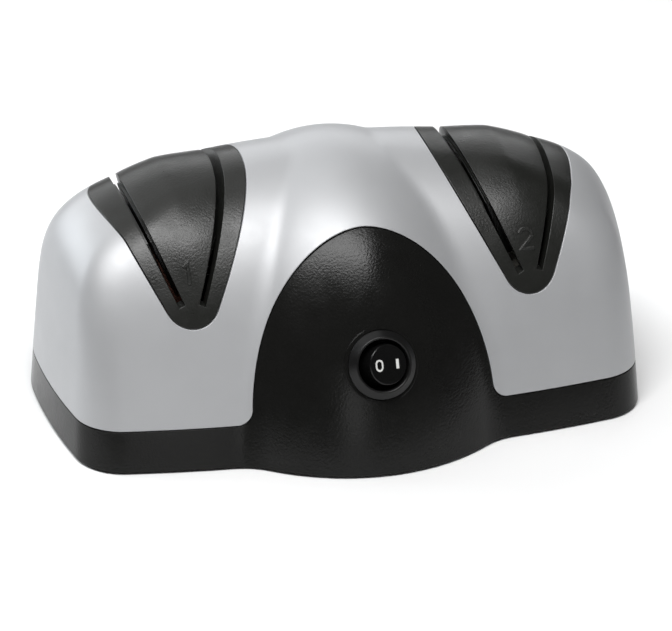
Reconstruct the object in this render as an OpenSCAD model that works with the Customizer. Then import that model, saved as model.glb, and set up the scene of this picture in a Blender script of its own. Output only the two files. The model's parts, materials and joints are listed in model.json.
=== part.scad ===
// Two-stage electric knife sharpener for a kitchen counter.
// A silver upper housing sits on a black base. Two black guide inserts saddle over the top,
// and a motor under the dome turns a grinding wheel below each insert.
// Origin: centre of the footprint, on the counter. +Z is up and the front faces -Y.

/* [Overall] */
// Length over both rounded ends, along X
body_l = 207.6; // [196:0.2:252]
// Depth of a wing in front of the crest line, at the counter
wing_front = 67.3; // [64:0.1:82]
// Depth of a wing behind the crest line, at the counter
wing_rear = 61.7; // [58:0.1:75]
// Height of the wings at the crest
wing_h = 86.8; // [84:0.1:105]
// Reach of the bulged centre in front of the crest line, at the counter
centre_front = 82; // [78:0.1:99]
// Reach of the bulged centre behind the crest line, at the counter
centre_rear = 64; // [62:0.1:78]
// Half width of the bulged centre's oval, at the counter
centre_half_w = 72.5; // [66:0.1:87]
// How far the dome stands above the wings
dome_rise = 2; // [1:0.1:6]

/* [Rounding] */
// Half length of the straight middle stretch of the front
flat_half = 15; // [10:0.5:20]
// Radius of the gently bowed front of each wing
front_r = 418; // [350:1:500]
// Radius of the bowed ends
end_r = 252; // [200:1:300]
// Radius of the upright corners
corner_r = 17.6; // [12:0.1:20]
// Depth of the arch's centre below the counter
arch_drop = 86; // [60:1:110]
// Depth of the dome's centre below the counter
dome_drop = 36; // [30:1:60]
// Inward lean of the ends, as a fraction of length over 100 mm of height
end_lean = 0.055; // [0.03:0.005:0.08]

/* [Shell] */
// Wall of the housing and of the base
wall = 2.4; // [1.8:0.1:3]
// Gap between mating shells that shows as a dark line
shell_gap = 0.35; // [0.25:0.05:0.5]
// Height of the parting line between base and housing
parting_z = 14.2; // [12:0.1:17]
// Height of the base's underside above the counter
base_z = 1; // [0.8:0.1:1.5]
// Thickness of the base floor
floor_t = 2.2; // [1.8:0.1:3]

/* [Front panel] */
// Half width of the arched front panel above the parting line
panel_half_w = 41.8; // [38:0.1:46]
// Height of the top of the front panel
panel_top_z = 73.2; // [68:0.1:76]
// Radius where the panel runs out into the parting line
panel_fillet = 6; // [4:0.5:8]

/* [Guide inserts] */
// Distance from the end of the body to the middle of an insert
guide_inset = 45; // [44:0.5:50]
// Depth of an insert's rounded tip below the wing's crest
guide_drop = 41.3; // [36:0.1:44]
// Radius of the insert's tip
guide_tip_r = 9.5; // [8:0.1:12]
// Half angle at which the insert widens upward
guide_flare = 28; // [24:0.5:30]
// How far the insert's outer side sweeps outward by the crest
guide_sweep = 4.4; // [2:0.1:5]
// Depth below the wing's crest at which the sweep begins
sweep_drop = 17.8; // [16:0.1:20]
// Height that the keel between the slots stands proud
keel_rise = 1.6; // [1:0.1:4]
// Thickness of the insert, with its lip under the housing
insert_t = 4; // [3.6:0.1:5]
// How far the lip reaches under the housing
insert_lip = 3.5; // [2:0.5:4]
// Lean of a knife slot from upright
slot_lean = 22.3; // [15:0.1:24]
// Angle between a knife slot and the front-to-back direction
slot_toe = 1.7; // [0:0.1:3]
// Distance from the insert's middle to a slot, at the slot's bottom on the crest line
slot_off = 4.7; // [4:0.1:6]
// Depth of a slot's bottom below the wing's crest
slot_drop = 34.8; // [32:0.1:38]
// Width of a slot at its bottom
slot_w_low = 2.2; // [2:0.1:3]
// Width of a slot at the crest
slot_w_high = 2.9; // [2.6:0.1:3.8]

/* [Switch] */
// Height of the switch on the front panel
switch_z = 36.2; // [34:0.1:40]
// Diameter of the switch's rim
bezel_d = 23.1; // [20:0.1:25]
// Diameter of the switch's barrel, which fills the panel hole
barrel_d = 20; // [18:0.1:21]
// Height of the rim above the panel
bezel_h = 3; // [2:0.1:3.6]
// Diameter of the opening that the rocker fills
opening_d = 17.1; // [14:0.1:17.6]
// Depth of the switch's body behind the panel
switch_depth = 17; // [14:0.5:19]
// Half of the rocker's throw
rocker_throw = 12; // [6:0.5:14]
// Running gap between the rocker and its opening
rocker_gap = 0.3; // [0.2:0.05:0.6]

/* [Motor] */
// Depth of the shaft below the wing's crest
shaft_drop = 46.8; // [44:0.1:48]
// Diameter of the shaft
shaft_d = 6; // [5:0.1:8]
// Running clearance of the shaft in its bearings
shaft_clear = 0.05; // [0.02:0.01:0.09]
// Length of the lamination stack
stack_l = 24; // [18:1:28]
// Diameter of the rotor
rotor_d = 22; // [18:0.5:24]
// Gap between rotor and stack
air_gap = 0.4; // [0.3:0.1:0.8]
// Diameter of the fan
fan_d = 42; // [36:1:46]
// Number of fan blades
fan_blades = 9; // [7:1:11]

/* [Grinding wheels] */
// Diameter of a grinding wheel
wheel_d = 52; // [44:1:52]
// Thickness of a grinding wheel
wheel_t = 12; // [8:1:13]
// Diameter of a wheel's hub
hub_d = 18; // [14:1:20]
// Diameter of the flange and washer that hold a wheel
flange_d = 28; // [22:1:32]

/* [Fasteners and feet] */
// Diameter of a rubber foot
foot_d = 16; // [12:1:20]
// Diameter of a case screw
screw_d = 3; // [2.5:0.1:3.5]
// Diameter of a case screw's head
screw_head_d = 6.2; // [5:0.1:7]
// Distance from the end of the body to the end screws
screw_inset = 17; // [16:0.5:20]
// Distance of the end screws from the crest line
screw_y = 14; // [8:1:20]
// Distance of the front feet from the crest line
foot_front = 34; // [26:1:40]
// Distance of the rear feet from the crest line
foot_rear = 28; // [22:1:30]

/* [Hidden] */

$fn = 48;
eps = 0.01;
dome_h = wing_h + dome_rise;
half_l = body_l / 2;
crest_y = (centre_front - centre_rear) / 2;
guide_x = half_l - guide_inset;
shaft_z = wing_h - shaft_drop;
shaft_r = shaft_d / 2;
floor_z = base_z + floor_t;

// Shape of the two forms
top_n = 9.4;
top_m = 1.54;
rear_q = 2.17;
round_k = 6.5;
round_w = 0.97;
levels = 13;
slab = 0.01;

// ---------------------------------------------------------------- body form

// Points along an arc of radius r about c, from angle a0 to a1 in n steps.
function arc(c, r, a0, a1, n) =
    [for (i = [0:n]) let (a = a0 + (a1 - a0) * i / n) c + r * [cos(a), sin(a)]];

// Centre of the upright corner: it touches the bowed front and the bowed end from inside.
function corner_c(c1, r1, c3, r3) =
    let (d = c3 - c1, dd = norm(d), a = (r1 * r1 - r3 * r3 + dd * dd) / (2 * dd), h = sqrt(r1 * r1 - a * a))
    c1 + d * a / dd + h * [-d[1], d[0]] / dd * (d[0] < 0 ? -1 : 1);

// One quarter of the front outline, with depth measured forward from the crest line.
function front_quarter(l, w, rc) =
    let (c1 = [flat_half, w - front_r], c3 = [l - end_r, 0],
         c2 = corner_c(c1, front_r - rc, c3, end_r - rc),
         a1 = atan2(c2[1] - c1[1], c2[0] - c1[0]), a3 = atan2(c2[1] - c3[1], c2[0] - c3[0]))
    concat(arc(c1, front_r, 90, a1, 3), arc(c2, rc, a1, a3, 5), arc(c3, end_r, a3, 0, 3));

// One quarter of the rear outline, an oval that is slightly squared.
function rear_quarter(l, w) =
    [for (i = [0:9]) [l * pow(cos(10 * i), 2 / rear_q), w * pow(sin(10 * i), 2 / rear_q)]];

function mirror_x(q) = [for (p = q) [-p[0], p[1]]];

function flip(q) = [for (i = [len(q) - 1:-1:0]) q[i]];

// Higher outlines are rounder: each point moves toward the plain oval at its own angle.
function to_oval(p, l, w, k) =
    let (a = atan2(p[1] / w, p[0] / l)) p * (1 - k) + [l * cos(a), w * sin(a)] * k;

// Depth of an arch at height z, as a share of its depth at the counter.
function arch_scale(z, top, drop) =
    sqrt(max(0, 1 - pow((z + drop) / (top + drop), 2))) / sqrt(1 - pow(drop / (top + drop), 2));

// Length of the wings at height z, as a share of their length at the counter.
function length_scale(z, top) = (1 - end_lean * z / 100) * pow(max(0, 1 - pow(z / top, top_n)), 1 / top_m);

function wing_outline(z, t) =
    let (top = wing_h - t, l = half_l - t, wf = wing_front - t, wr = wing_rear - t,
         k = round_w * pow(max(0, z) / top, round_k),
         sx = length_scale(z, top), sy = arch_scale(z, top, arch_drop),
         f = [for (p = front_quarter(l, wf, corner_r - t)) to_oval(p, l, wf, k)],
         r = [for (p = rear_quarter(l, wr)) to_oval(p, l, wr, k)])
    concat([for (p = concat(f, flip(mirror_x(f)))) [p[0] * sx, crest_y - p[1] * sy]],
           [for (p = concat(mirror_x(r), flip(r))) [p[0] * sx, crest_y + p[1] * sy]]);

function centre_outline(z, t) =
    let (s = arch_scale(z, dome_h - t, dome_drop))
    [for (i = [0:47])
        let (a = 7.5 * i, reach = sin(a) < 0 ? centre_front - t : centre_rear - t)
        [(centre_half_w - t) * s * cos(a), crest_y + reach * s * sin(a)]];

// Height of slice i; the slices lie closer together toward the top.
function level(i, low, top) = low + (top * 0.9996 - low) * sin(90 * i / levels);

// One thin slice at height z; the topmost ends at its height.
module slice(z, i) {
    translate([0, 0, z - (i == levels ? slab : 0)]) linear_extrude(slab) children();
}

// Long arched form of the two wings; t is the inset of an inner wall.
module wing_form(t = 0, low = 0) {
    hull() {
        for (i = [0:levels]) {
            z = level(i, low, wing_h - t);
            slice(z, i) polygon(wing_outline(z, t));
        }
    }
}

// Domed form of the bulged centre.
module centre_form(t = 0, low = 0) {
    hull() {
        for (i = [0:levels]) {
            z = level(i, low, dome_h - t);
            slice(z, i) polygon(centre_outline(z, t));
        }
    }
}

module body_form(t = 0, low = 0) {
    wing_form(t, low);
    centre_form(t, low);
}

// ---------------------------------------------------------------- outlines seen from the front

// A flat outline in X and Z, pushed from y0 to y1.
module push_y(y0, y1) {
    translate([0, y1, 0]) rotate([90, 0, 0]) linear_extrude(y1 - y0) children();
}

// Half width of the arched front panel at height z.
function panel_x(z) =
    panel_half_w * pow(max(0, 1 - pow((z - parting_z) / (panel_top_z - parting_z), 2)), 0.54);

module panel_outline() {
    foot = parting_z + panel_fillet;
    side = [for (i = [0:18]) let (z = foot + (panel_top_z - foot) * sin(5 * i)) [panel_x(z), z]];
    run_out = arc([panel_x(foot) + panel_fillet, foot - 0.05], panel_fillet, 270, 180, 5);
    right = concat([[run_out[0][0], -2]], run_out, side);
    polygon(concat(right, flip(mirror_x(right))));
}

guide_cz = wing_h - guide_drop + guide_tip_r;

// Half width of an insert's straight side at height z.
function guide_half(z) = guide_tip_r * cos(guide_flare)
    + (z - guide_cz + guide_tip_r * sin(guide_flare)) * tan(guide_flare);

// Points up one side of an insert's outline, which sweeps outward near the crest.
function guide_side(sweep) = sweep == 0 ? [[guide_half(wing_h + 15), wing_h + 15]]
    : [for (rise = [0, 1.3, 2.6, 4, 5.3, 7, 9, sweep_drop + 15]) let (z = wing_h - sweep_drop + rise)
        [guide_half(z) + sweep * pow(min(rise, 9) / 5.3, 2), z]];

module guide_outline(side, sweep) {
    tip = arc([0, guide_cz], guide_tip_r, 180 + guide_flare, 360 - guide_flare, 12);
    right = guide_side(side > 0 ? sweep : 0);
    left = flip(mirror_x(guide_side(side < 0 ? sweep : 0)));
    polygon(concat(tip, right, left));
}

module guide_prism(grow, side, sweep = guide_sweep) {
    push_y(crest_y - 90, crest_y + 90) offset(delta = grow) guide_outline(side, sweep);
}

// Everything in front of the crest that the arched panel covers.
module panel_prism(grow) {
    push_y(crest_y - 110, crest_y - 24) offset(delta = grow) panel_outline();
}

// ---------------------------------------------------------------- fastener places

// Each spot is [x, y, height of its boss]: the end bosses reach the roof, the rear ones stand on the wall.
boss_r = 4.2;
head_seat_z = 5;
screw_l = 24;
rear_screw_x = 24;
rear_screw_in = 18;
rear_boss_z = head_seat_z + screw_l + 4;
end_spots = [for (x = [-1, 1], y = [-1, 1]) [x * (half_l - screw_inset), crest_y + y * screw_y, wing_h]];
rear_spots = [for (x = [-1, 1]) [x * rear_screw_x, crest_y + centre_rear - rear_screw_in, rear_boss_z]];
screw_spots = concat(end_spots, rear_spots);

// ---------------------------------------------------------------- shells

module upper_housing() {
    color([0.76, 0.77, 0.78]) difference() {
        union() {
            difference() {
                body_form(0, parting_z + shell_gap);
                body_form(wall, parting_z + shell_gap - 1);
            }
            intersection() {
                for (p = screw_spots) {
                    hull() {
                        translate([p[0], p[1], parting_z + shell_gap]) cylinder(r = boss_r - 0.4, h = eps);
                        translate([p[0], p[1], p[2]]) cylinder(r = boss_r, h = eps);
                    }
                }
                body_form(wall / 2, parting_z + shell_gap);
            }
        }
        panel_prism(shell_gap);
        for (s = [-1, 1]) {
            translate([s * guide_x, 0, 0]) guide_prism(shell_gap, s);
        }
        for (p = screw_spots) {
            translate([p[0], p[1], 0]) cylinder(d = screw_d + 0.1, h = screw_l + head_seat_z + 2);
        }
    }
}

// Low band round the body, with the arched front panel in the same moulding.
module base_shell() {
    difference() {
        intersection() {
            body_form(0, base_z);
            union() {
                translate([-half_l - 5, crest_y - 100, base_z])
                    cube([body_l + 10, 200, parting_z - base_z]);
                panel_prism(0);
            }
        }
        body_form(wall, floor_z);
    }
}

vent_count = 7;

module base_pan() {
    color([0.1, 0.1, 0.11]) difference() {
        union() {
            base_shell();
            for (p = screw_spots) {
                hull() {
                    translate([p[0], p[1], base_z]) cylinder(r = boss_r + 0.6, h = eps);
                    translate([p[0], p[1], parting_z - 0.05]) cylinder(r = boss_r, h = eps);
                }
            }
            for (p = motor_posts) {
                translate([p[0], p[1], base_z]) cylinder(r = post_r, h = post_top_z - base_z);
            }
            switch_place() translate([0, 0, -wall - 1]) cylinder(d = bezel_d + 2.4, h = wall + 1 + seat_z);
        }
        for (p = screw_spots) {
            translate([p[0], p[1], -1]) cylinder(d = screw_head_d + 0.8, h = head_seat_z + 1);
            translate([p[0], p[1], 0]) cylinder(d = screw_d + 0.5, h = parting_z + 1);
        }
        for (p = motor_posts) {
            translate([p[0], p[1], floor_z]) cylinder(d = screw_d + 0.1, h = post_top_z);
        }
        for (p = foot_places) {
            translate([p[0], p[1], 0]) cylinder(d = foot_d, h = base_z + foot_seat);
        }
        for (i = [0:vent_count - 1]) {
            translate([(i - (vent_count - 1) / 2) * 9 - 1.5, crest_y - 52, 0]) cube([3, 22, 10]);
        }
        switch_place() translate([0, 0, seat_z]) cylinder(d = bezel_d + 0.4, h = 6);
        switch_place() translate([0, 0, -30]) cylinder(d = barrel_d + 0.2, h = 60);
        inlet_place() cylinder(d = inlet_d + 0.2, h = 30, center = true);
    }
}

// ---------------------------------------------------------------- guide inserts

// Cross-section of a knife slot, upright, with its bottom at the origin.
module slot_section(grow = 0) {
    high = slot_drop + 12;
    low_w = slot_w_low / 2 + grow;
    high_w = slot_w_high / 2 + grow + (slot_w_high - slot_w_low) / 2 * 12 / slot_drop;
    polygon([[-low_w, 0], [low_w, 0], [high_w, high], [-high_w, high]]);
}

// Puts a slot-shaped child on side s of an insert whose middle is at x = 0.
module slot_place(s) {
    translate([s * slot_off, crest_y, wing_h - slot_drop])
        rotate([0, 0, -s * slot_toe])
            rotate([0, s * slot_lean, 0]) children();
}

module knife_slot(s) {
    slot_place(s) push_y(-80, 80) slot_section();
}

plate_t = 1.4;
plate_reach = 27;

// Thin plates under the skin that keep a blade on its slot's plane.
module slot_plates(s) {
    for (side = [-1, 1]) {
        slot_place(s) hull() {
            for (end = [[slot_w_low, -2], [slot_w_high, slot_drop]]) {
                translate([side * (end[0] + plate_t) / 2, 0, end[1]])
                    cube([plate_t, 2 * plate_reach, eps], center = true);
            }
        }
    }
}

// Clear space round a wheel.
wheel_room = 2;

// Leaning plane through the middle of a slot, and an upright one at the insert's middle.
module slot_plane(s) {
    slot_place(s) push_y(-80, 80) polygon([[-eps, 0], [eps, 0], [eps, 60], [-eps, 60]]);
}

module middle_plane() {
    low_z = wing_h - slot_drop;
    top_z = wing_h + 9;
    push_y(crest_y - 80, crest_y + 80) polygon([[-eps, low_z], [eps, low_z], [eps, top_z], [-eps, top_z]]);
}

// Keel between the slots: a roof whose ridge stands above the insert's arch.
module keel(side, low) {
    hull() {
        for (s = [-1, 1]) intersection() {
            wing_form(0, low);
            translate([side * guide_x, 0, 0]) slot_plane(s);
        }
        intersection() {
            translate([0, 0, keel_rise]) wing_form(0, low);
            translate([side * guide_x, 0, 0]) middle_plane();
        }
    }
}

module guide_insert(side) {
    low = wing_h - guide_drop - 12;
    color([0.16, 0.16, 0.16]) difference() {
        union() {
            difference() {
                union() {
                    intersection() {
                        wing_form(0, low);
                        translate([side * guide_x, 0, 0]) guide_prism(0, side);
                    }
                    intersection() {
                        wing_form(wall + 0.2, low);
                        translate([side * guide_x, 0, 0]) guide_prism(insert_lip, side, 0);
                    }
                    keel(side, low);
                    if (side < 0) number_place(side) number_1();
                    if (side > 0) number_place(side) number_2();
                }
                wing_form(insert_t, low - 1);
            }
            intersection() {
                wing_form(insert_t - 1, low);
                translate([side * guide_x, 0, 0]) for (s = [-1, 1]) slot_plates(s);
            }
        }
        translate([side * guide_x, 0, 0]) for (s = [-1, 1]) knife_slot(s);
        shaft_line() translate([0, 0, side * guide_x])
            cylinder(d = wheel_d + 2 * wheel_room, h = wheel_t + 2 * wheel_room, center = true);
        translate([0, 0, -50]) cube([400, 300, 2 * (low + 50)], center = true);
    }
}

module guide_insert_1() { guide_insert(-1); }

module guide_insert_2() { guide_insert(1); }

// ---------------------------------------------------------------- moulded figures

number_h = 8;
number_w = 1.1;
number_proud = 0.25;
number_drop = 25.5;
number_z = wing_h - number_drop;

// Depth of the keel's face in front of the crest line, at the insert's middle.
function keel_depth(z) = (wing_front - front_r + sqrt(pow(front_r, 2) - pow(guide_x - flat_half, 2)))
    * arch_scale(z - keel_rise, wing_h, arch_drop);

// Lays a flat figure on the keel's face, with its plate sunk in and its strokes standing proud.
module number_place(side) {
    lean = atan2(keel_depth(number_z - 3) - keel_depth(number_z + 3), 6);
    translate([side * guide_x, crest_y - keel_depth(number_z), number_z]) rotate([90 - lean, 0, 0])
        translate([0, 0, number_proud - 1]) linear_extrude(1) children();
}

module number_1() {
    translate([-number_w / 2, -number_h / 2]) square([number_w, number_h]);
    translate([-number_w * 1.5, number_h / 2 - number_w * 1.6]) square([number_w + 0.1, number_w]);
}

module number_2() {
    r = 2.2;
    low = -number_h / 2;
    bend = number_h / 2 - r;
    difference() {
        translate([0, bend]) circle(r = r);
        translate([0, bend]) circle(r = r - number_w);
        translate([-r - 1, bend - r - 1]) square([r + 1, r + 1]);
        translate([-eps, bend - r - 1]) square([r + 1, r + 1 - number_w]);
    }
    polygon([[-r, low], [-r + number_w * 1.2, low], [r, bend - number_w], [r, bend], [r - number_w, bend]]);
    translate([-r, low]) square([2 * r, number_w]);
}

// ---------------------------------------------------------------- switch

// The panel's own slope at the switch, from the dome form.
switch_s = arch_scale(switch_z, dome_h, dome_drop);
switch_y = crest_y - centre_front * switch_s;
dome_scale = 1 - pow(dome_drop / (dome_h + dome_drop), 2);
switch_rise = atan2((switch_z + dome_drop) / pow(dome_h + dome_drop, 2),
                    (crest_y - switch_y) * dome_scale / pow(centre_front, 2));

// Local +Z points out of the panel and local +Y points up along it.
module switch_place() {
    translate([0, switch_y, switch_z]) rotate([90 - switch_rise, 0, 0]) children();
}

opening_r = opening_d / 2;
seat_z = -0.7;
cup_depth = 12;
pivot_depth = -4.6;
pivot_r = 1.2;
pin_half = opening_r + 0.85;

module switch_body() {
    barrel_r = barrel_d / 2 - 0.1;
    rim_r = bezel_d / 2;
    color([0.06, 0.06, 0.06]) switch_place() difference() {
        rotate_extrude() polygon([[0, -switch_depth], [barrel_r, -switch_depth], [barrel_r, seat_z],
                                  [rim_r, seat_z], [rim_r, 0.3], [opening_r + 1.1, bezel_h - 0.2],
                                  [opening_r + 0.7, bezel_h], [0, bezel_h]]);
        translate([0, 0, -cup_depth]) cylinder(r = opening_r, h = cup_depth + 10);
        pivot_pin(pivot_r + shaft_clear, pin_half + 0.2);
    }
}

// The rocker's cross pin, or its hole.
module pivot_pin(r, half) {
    translate([0, 0, pivot_depth]) rotate([90, 0, 0]) cylinder(r = r, h = 2 * half, center = true);
}

// The rocker is shown with its right half pressed in.
module rocker_turn() {
    translate([0, 0, pivot_depth]) rotate([0, rocker_throw, 0]) translate([0, 0, -pivot_depth]) children();
}

rocker_face = 2.4;
rocker_dish = 6;
rocker_keel = 2.6;
face_h = rocker_face - pivot_depth;
rocker_top_r = (opening_r - rocker_gap - face_h * sin(rocker_throw))
    / (cos(rocker_throw) + tan(rocker_dish) * sin(rocker_throw));
rocker_low_r = (opening_r - rocker_gap - rocker_keel * sin(rocker_throw)) / cos(rocker_throw);

// A round button that narrows outward, with a shallow V across its face.
module switch_rocker() {
    r = rocker_low_r;
    low = pivot_depth - rocker_keel;
    edge = rocker_face + r * tan(rocker_dish);
    color([0.04, 0.04, 0.04]) switch_place() rocker_turn() {
        intersection() {
            translate([0, 0, low]) cylinder(r1 = r, r2 = rocker_top_r, h = edge - low);
            push_y(-r - 1, r + 1) polygon([[-r, low], [r, low], [r, edge], [0, rocker_face], [-r, edge]]);
        }
        pivot_pin(pivot_r, pin_half);
    }
}

mark_t = 0.12;
mark_x = 3.4;
ring_w = 3;
ring_h = 4;
ring_stroke = 0.75;
bar_w = 1;
bar_h = 3.2;

// A long ring, as wide as w and as high as h.
module stadium(w, h) {
    for (s = [-1, 1]) translate([0, s * (h - w) / 2]) circle(d = w);
    square([w, h - w], center = true);
}

// White ring on the left half of the rocker and white bar on the right half.
module switch_marks() {
    color([0.93, 0.93, 0.92]) switch_place() rocker_turn() for (s = [-1, 1]) {
        translate([0, 0, rocker_face + 0.02]) rotate([0, -s * rocker_dish, 0])
            translate([s * mark_x, 0, 0]) linear_extrude(mark_t) {
                if (s < 0) difference() {
                    stadium(ring_w, ring_h);
                    stadium(ring_w - 2 * ring_stroke, ring_h - 2 * ring_stroke);
                }
                if (s > 0) square([bar_w, bar_h], center = true);
            }
    }
}

module switch_terminals() {
    color([0.8, 0.65, 0.3]) switch_place() for (s = [-1, 1]) {
        translate([s * 4 - 2.4, -0.4, -switch_depth - 8]) cube([4.8, 0.8, 8]);
    }
}

// ---------------------------------------------------------------- cord inlet

inlet_d = 8;
inlet_proud = 0.9;
inlet_slack = 1.9;
cord_d = 4.2;
inlet_z = base_z + 7.2;

module inlet_place() {
    translate([0, crest_y + centre_rear * arch_scale(inlet_z, dome_h, dome_drop), inlet_z])
        rotate([90, 0, 0]) children();
}

// Rubber bush in the rear of the base: the cord itself isn't part of the object shown.
module cord_inlet() {
    color([0.08, 0.08, 0.08]) inlet_place() difference() {
        union() {
            translate([0, 0, -inlet_proud]) cylinder(d = inlet_d, h = wall + inlet_proud + 2);
            translate([0, 0, wall + inlet_slack]) cylinder(d = inlet_d + 1.8, h = 2.5 - inlet_slack);
        }
        cylinder(d = cord_d, h = 40, center = true);
    }
}

// ---------------------------------------------------------------- feet and case screws

foot_x = half_l - 26;
foot_seat = 1.2;
foot_places = [for (x = [-1, 1], y = [-foot_front, foot_rear]) [x * foot_x, crest_y + y]];

module feet() {
    color([0.12, 0.12, 0.12]) for (p = foot_places) {
        translate([p[0], p[1], 0]) cylinder(d = foot_d - 0.2, h = base_z + foot_seat);
    }
}

module case_screws() {
    color([0.7, 0.7, 0.72]) for (p = screw_spots) {
        translate([p[0], p[1], head_seat_z - 2]) difference() {
            union() {
                cylinder(d = screw_head_d, h = 2);
                cylinder(d = screw_d, h = screw_l);
            }
            for (a = [0, 90]) rotate([0, 0, a]) cube([screw_head_d * 0.6, 0.8, 2.2], center = true);
        }
    }
}

// ---------------------------------------------------------------- motor

// Local +Z runs along the shaft, toward +X, and local +X points down.
module shaft_line() {
    translate([0, crest_y, shaft_z]) rotate([0, 90, 0]) children();
}

stack_half_h = 21;
stack_rear = 17;
stack_front = 34;
limb_t = 10;
window_h = 24;
window_front = 24;
window_rear = 15;
bolt_z = 17;
bolt_d = 4;

// Lamination outline: X is height below the shaft and Y is distance behind it.
module stack_outline() {
    difference() {
        translate([-stack_half_h, -stack_front]) square([2 * stack_half_h, stack_front + stack_rear]);
        circle(d = rotor_d + 2 * air_gap);
        translate([-window_h / 2, -window_front]) square([window_h, window_front - window_rear]);
        for (s = [-1, 1]) translate([s * bolt_z, 0]) circle(d = bolt_d + 0.1);
        for (s = [-1, 1]) translate([s * ring_x, ring_y]) circle(d = 2.6);
    }
}

ring_x = 9.4;
ring_y = 11.2;

module motor_stack() {
    color([0.45, 0.46, 0.48]) shaft_line() linear_extrude(stack_l, center = true) stack_outline();
}

// Copper shading pins through the poles.
module shading_rings() {
    color([0.75, 0.42, 0.22]) shaft_line() for (s = [-1, 1]) {
        translate([s * ring_x, ring_y, 0]) cylinder(d = 2.5, h = stack_l + 3, center = true);
    }
}

bobbin_t = 1.2;
coil_t = 6;
coil_h = window_h - 1;
limb_y = -(window_front + stack_front) / 2;

module limb_block(grow, h) {
    cube([h, limb_t + 2 * grow, stack_l + 2 * grow], center = true);
}

module coil_bobbin() {
    color([0.85, 0.83, 0.75]) shaft_line() translate([0, limb_y, 0]) difference() {
        union() {
            limb_block(bobbin_t + 0.1, coil_h);
            for (s = [-1, 1]) {
                translate([s * (coil_h - bobbin_t) / 2, 0, 0]) limb_block(bobbin_t + coil_t, bobbin_t);
            }
        }
        limb_block(0.1, coil_h + 2);
    }
}

module coil() {
    color([0.72, 0.38, 0.18]) shaft_line() translate([0, limb_y, 0]) difference() {
        limb_block(bobbin_t + coil_t - 0.5, coil_h - 2 * bobbin_t - 0.1);
        limb_block(bobbin_t + 0.15, coil_h + 2);
    }
}

bracket_x = stack_l / 2 + 5;
bracket_t = 2.5;
bracket_w = 14;
bearing_d = 12;
bearing_l = 8;
foot_tab_x = 14;
foot_tab_w = 24;
post_top_z = base_z + 11;
grommet_t = 2;
tab_z = post_top_z + grommet_t;
post_gap = 8;
post_r = 4;
motor_posts = [for (x = [-1, 1], y = [-1, 1]) [x * (bracket_x + foot_tab_x - 5), crest_y + y * post_gap]];

// Round bar that starts at x on side s of the bracket's middle and runs outward.
module boss(s, x, d, l) {
    translate([s * x, 0, 0]) rotate([0, s * 90, 0]) cylinder(d = d, h = l);
}

module bore(d) {
    rotate([0, 90, 0]) cylinder(d = d, h = 4 * bracket_x, center = true);
}

// End bracket on side s: a bar across the stack, a bearing cup and a foot.
module bracket(s) {
    down = shaft_z - tab_z;
    color([0.72, 0.73, 0.75]) translate([0, crest_y, shaft_z]) difference() {
        union() {
            translate([s > 0 ? bracket_x : -bracket_x - bracket_t, -bracket_w / 2, -down])
                cube([bracket_t, bracket_w, down + stack_half_h]);
            for (z = [-1, 1]) {
                translate([0, 0, z * bolt_z]) boss(s, stack_l / 2, 7.6, bracket_x - stack_l / 2 + 1);
            }
            boss(s, bracket_x, bearing_d + 5, bearing_l);
            translate([s > 0 ? bracket_x : -bracket_x - foot_tab_x, -foot_tab_w / 2, -down])
                cube([foot_tab_x, foot_tab_w, bracket_t]);
        }
        bore(bearing_d);
        for (z = [-1, 1]) {
            translate([0, 0, z * bolt_z]) bore(bolt_d + 0.1);
        }
        for (p = motor_posts) {
            translate([p[0], p[1] - crest_y, -down - 1]) cylinder(d = screw_d + 0.4, h = bracket_t + 2);
        }
    }
}

module bracket_1() { bracket(-1); }

module bracket_2() { bracket(1); }

module bearing(s) {
    color([0.66, 0.5, 0.3]) shaft_line() translate([0, 0, s * (bracket_x + bearing_l / 2)]) difference() {
        cylinder(d = bearing_d - 0.04, h = bearing_l, center = true);
        cylinder(r = shaft_r + shaft_clear, h = bearing_l + 2, center = true);
    }
}

module bearing_1() { bearing(-1); }

module bearing_2() { bearing(1); }

bolt_l = 2 * (bracket_x + bracket_t);

module motor_bolts() {
    color([0.7, 0.7, 0.72]) shaft_line() for (s = [-1, 1]) {
        translate([s * bolt_z, 0, 0]) {
            cylinder(d = bolt_d, h = bolt_l, center = true);
            translate([0, 0, bolt_l / 2]) cylinder(d = 7, h = 2.6);
            translate([0, 0, -bolt_l / 2 - 2.6]) cylinder(d = 7, h = 2.6, $fn = 6);
        }
    }
}

module motor_grommets() {
    color([0.15, 0.15, 0.15]) for (p = motor_posts) {
        translate([p[0], p[1], post_top_z]) difference() {
            cylinder(r = 3.8, h = grommet_t);
            translate([0, 0, -1]) cylinder(d = screw_d + 0.4, h = grommet_t + 2);
        }
    }
}

module mount_screws() {
    color([0.7, 0.7, 0.72]) for (p = motor_posts) {
        translate([p[0], p[1], tab_z + bracket_t]) {
            cylinder(d = screw_head_d, h = 2);
            translate([0, 0, -10]) cylinder(d = screw_d, h = 10.5);
        }
    }
}

// ---------------------------------------------------------------- turning parts

hub_l = wheel_t + 8;
shaft_half = guide_x + hub_l / 2 + 6;

module motor_shaft() {
    color([0.8, 0.81, 0.83]) shaft_line() cylinder(r = shaft_r, h = 2 * shaft_half, center = true);
}

module rotor_core() {
    color([0.4, 0.41, 0.43]) shaft_line() difference() {
        cylinder(d = rotor_d, h = stack_l, center = true);
        cylinder(r = shaft_r + 0.02, h = stack_l + 2, center = true);
    }
}

module rotor_cage() {
    color([0.78, 0.79, 0.8]) shaft_line() for (s = [-1, 1]) {
        translate([0, 0, s * (stack_l / 2 + 1)]) difference() {
            cylinder(d = rotor_d - 1, h = 2, center = true);
            cylinder(r = shaft_r + 2, h = 4, center = true);
        }
    }
}

fan_x = bracket_x + bearing_l + 2.5;
fan_l = 7;

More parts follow.
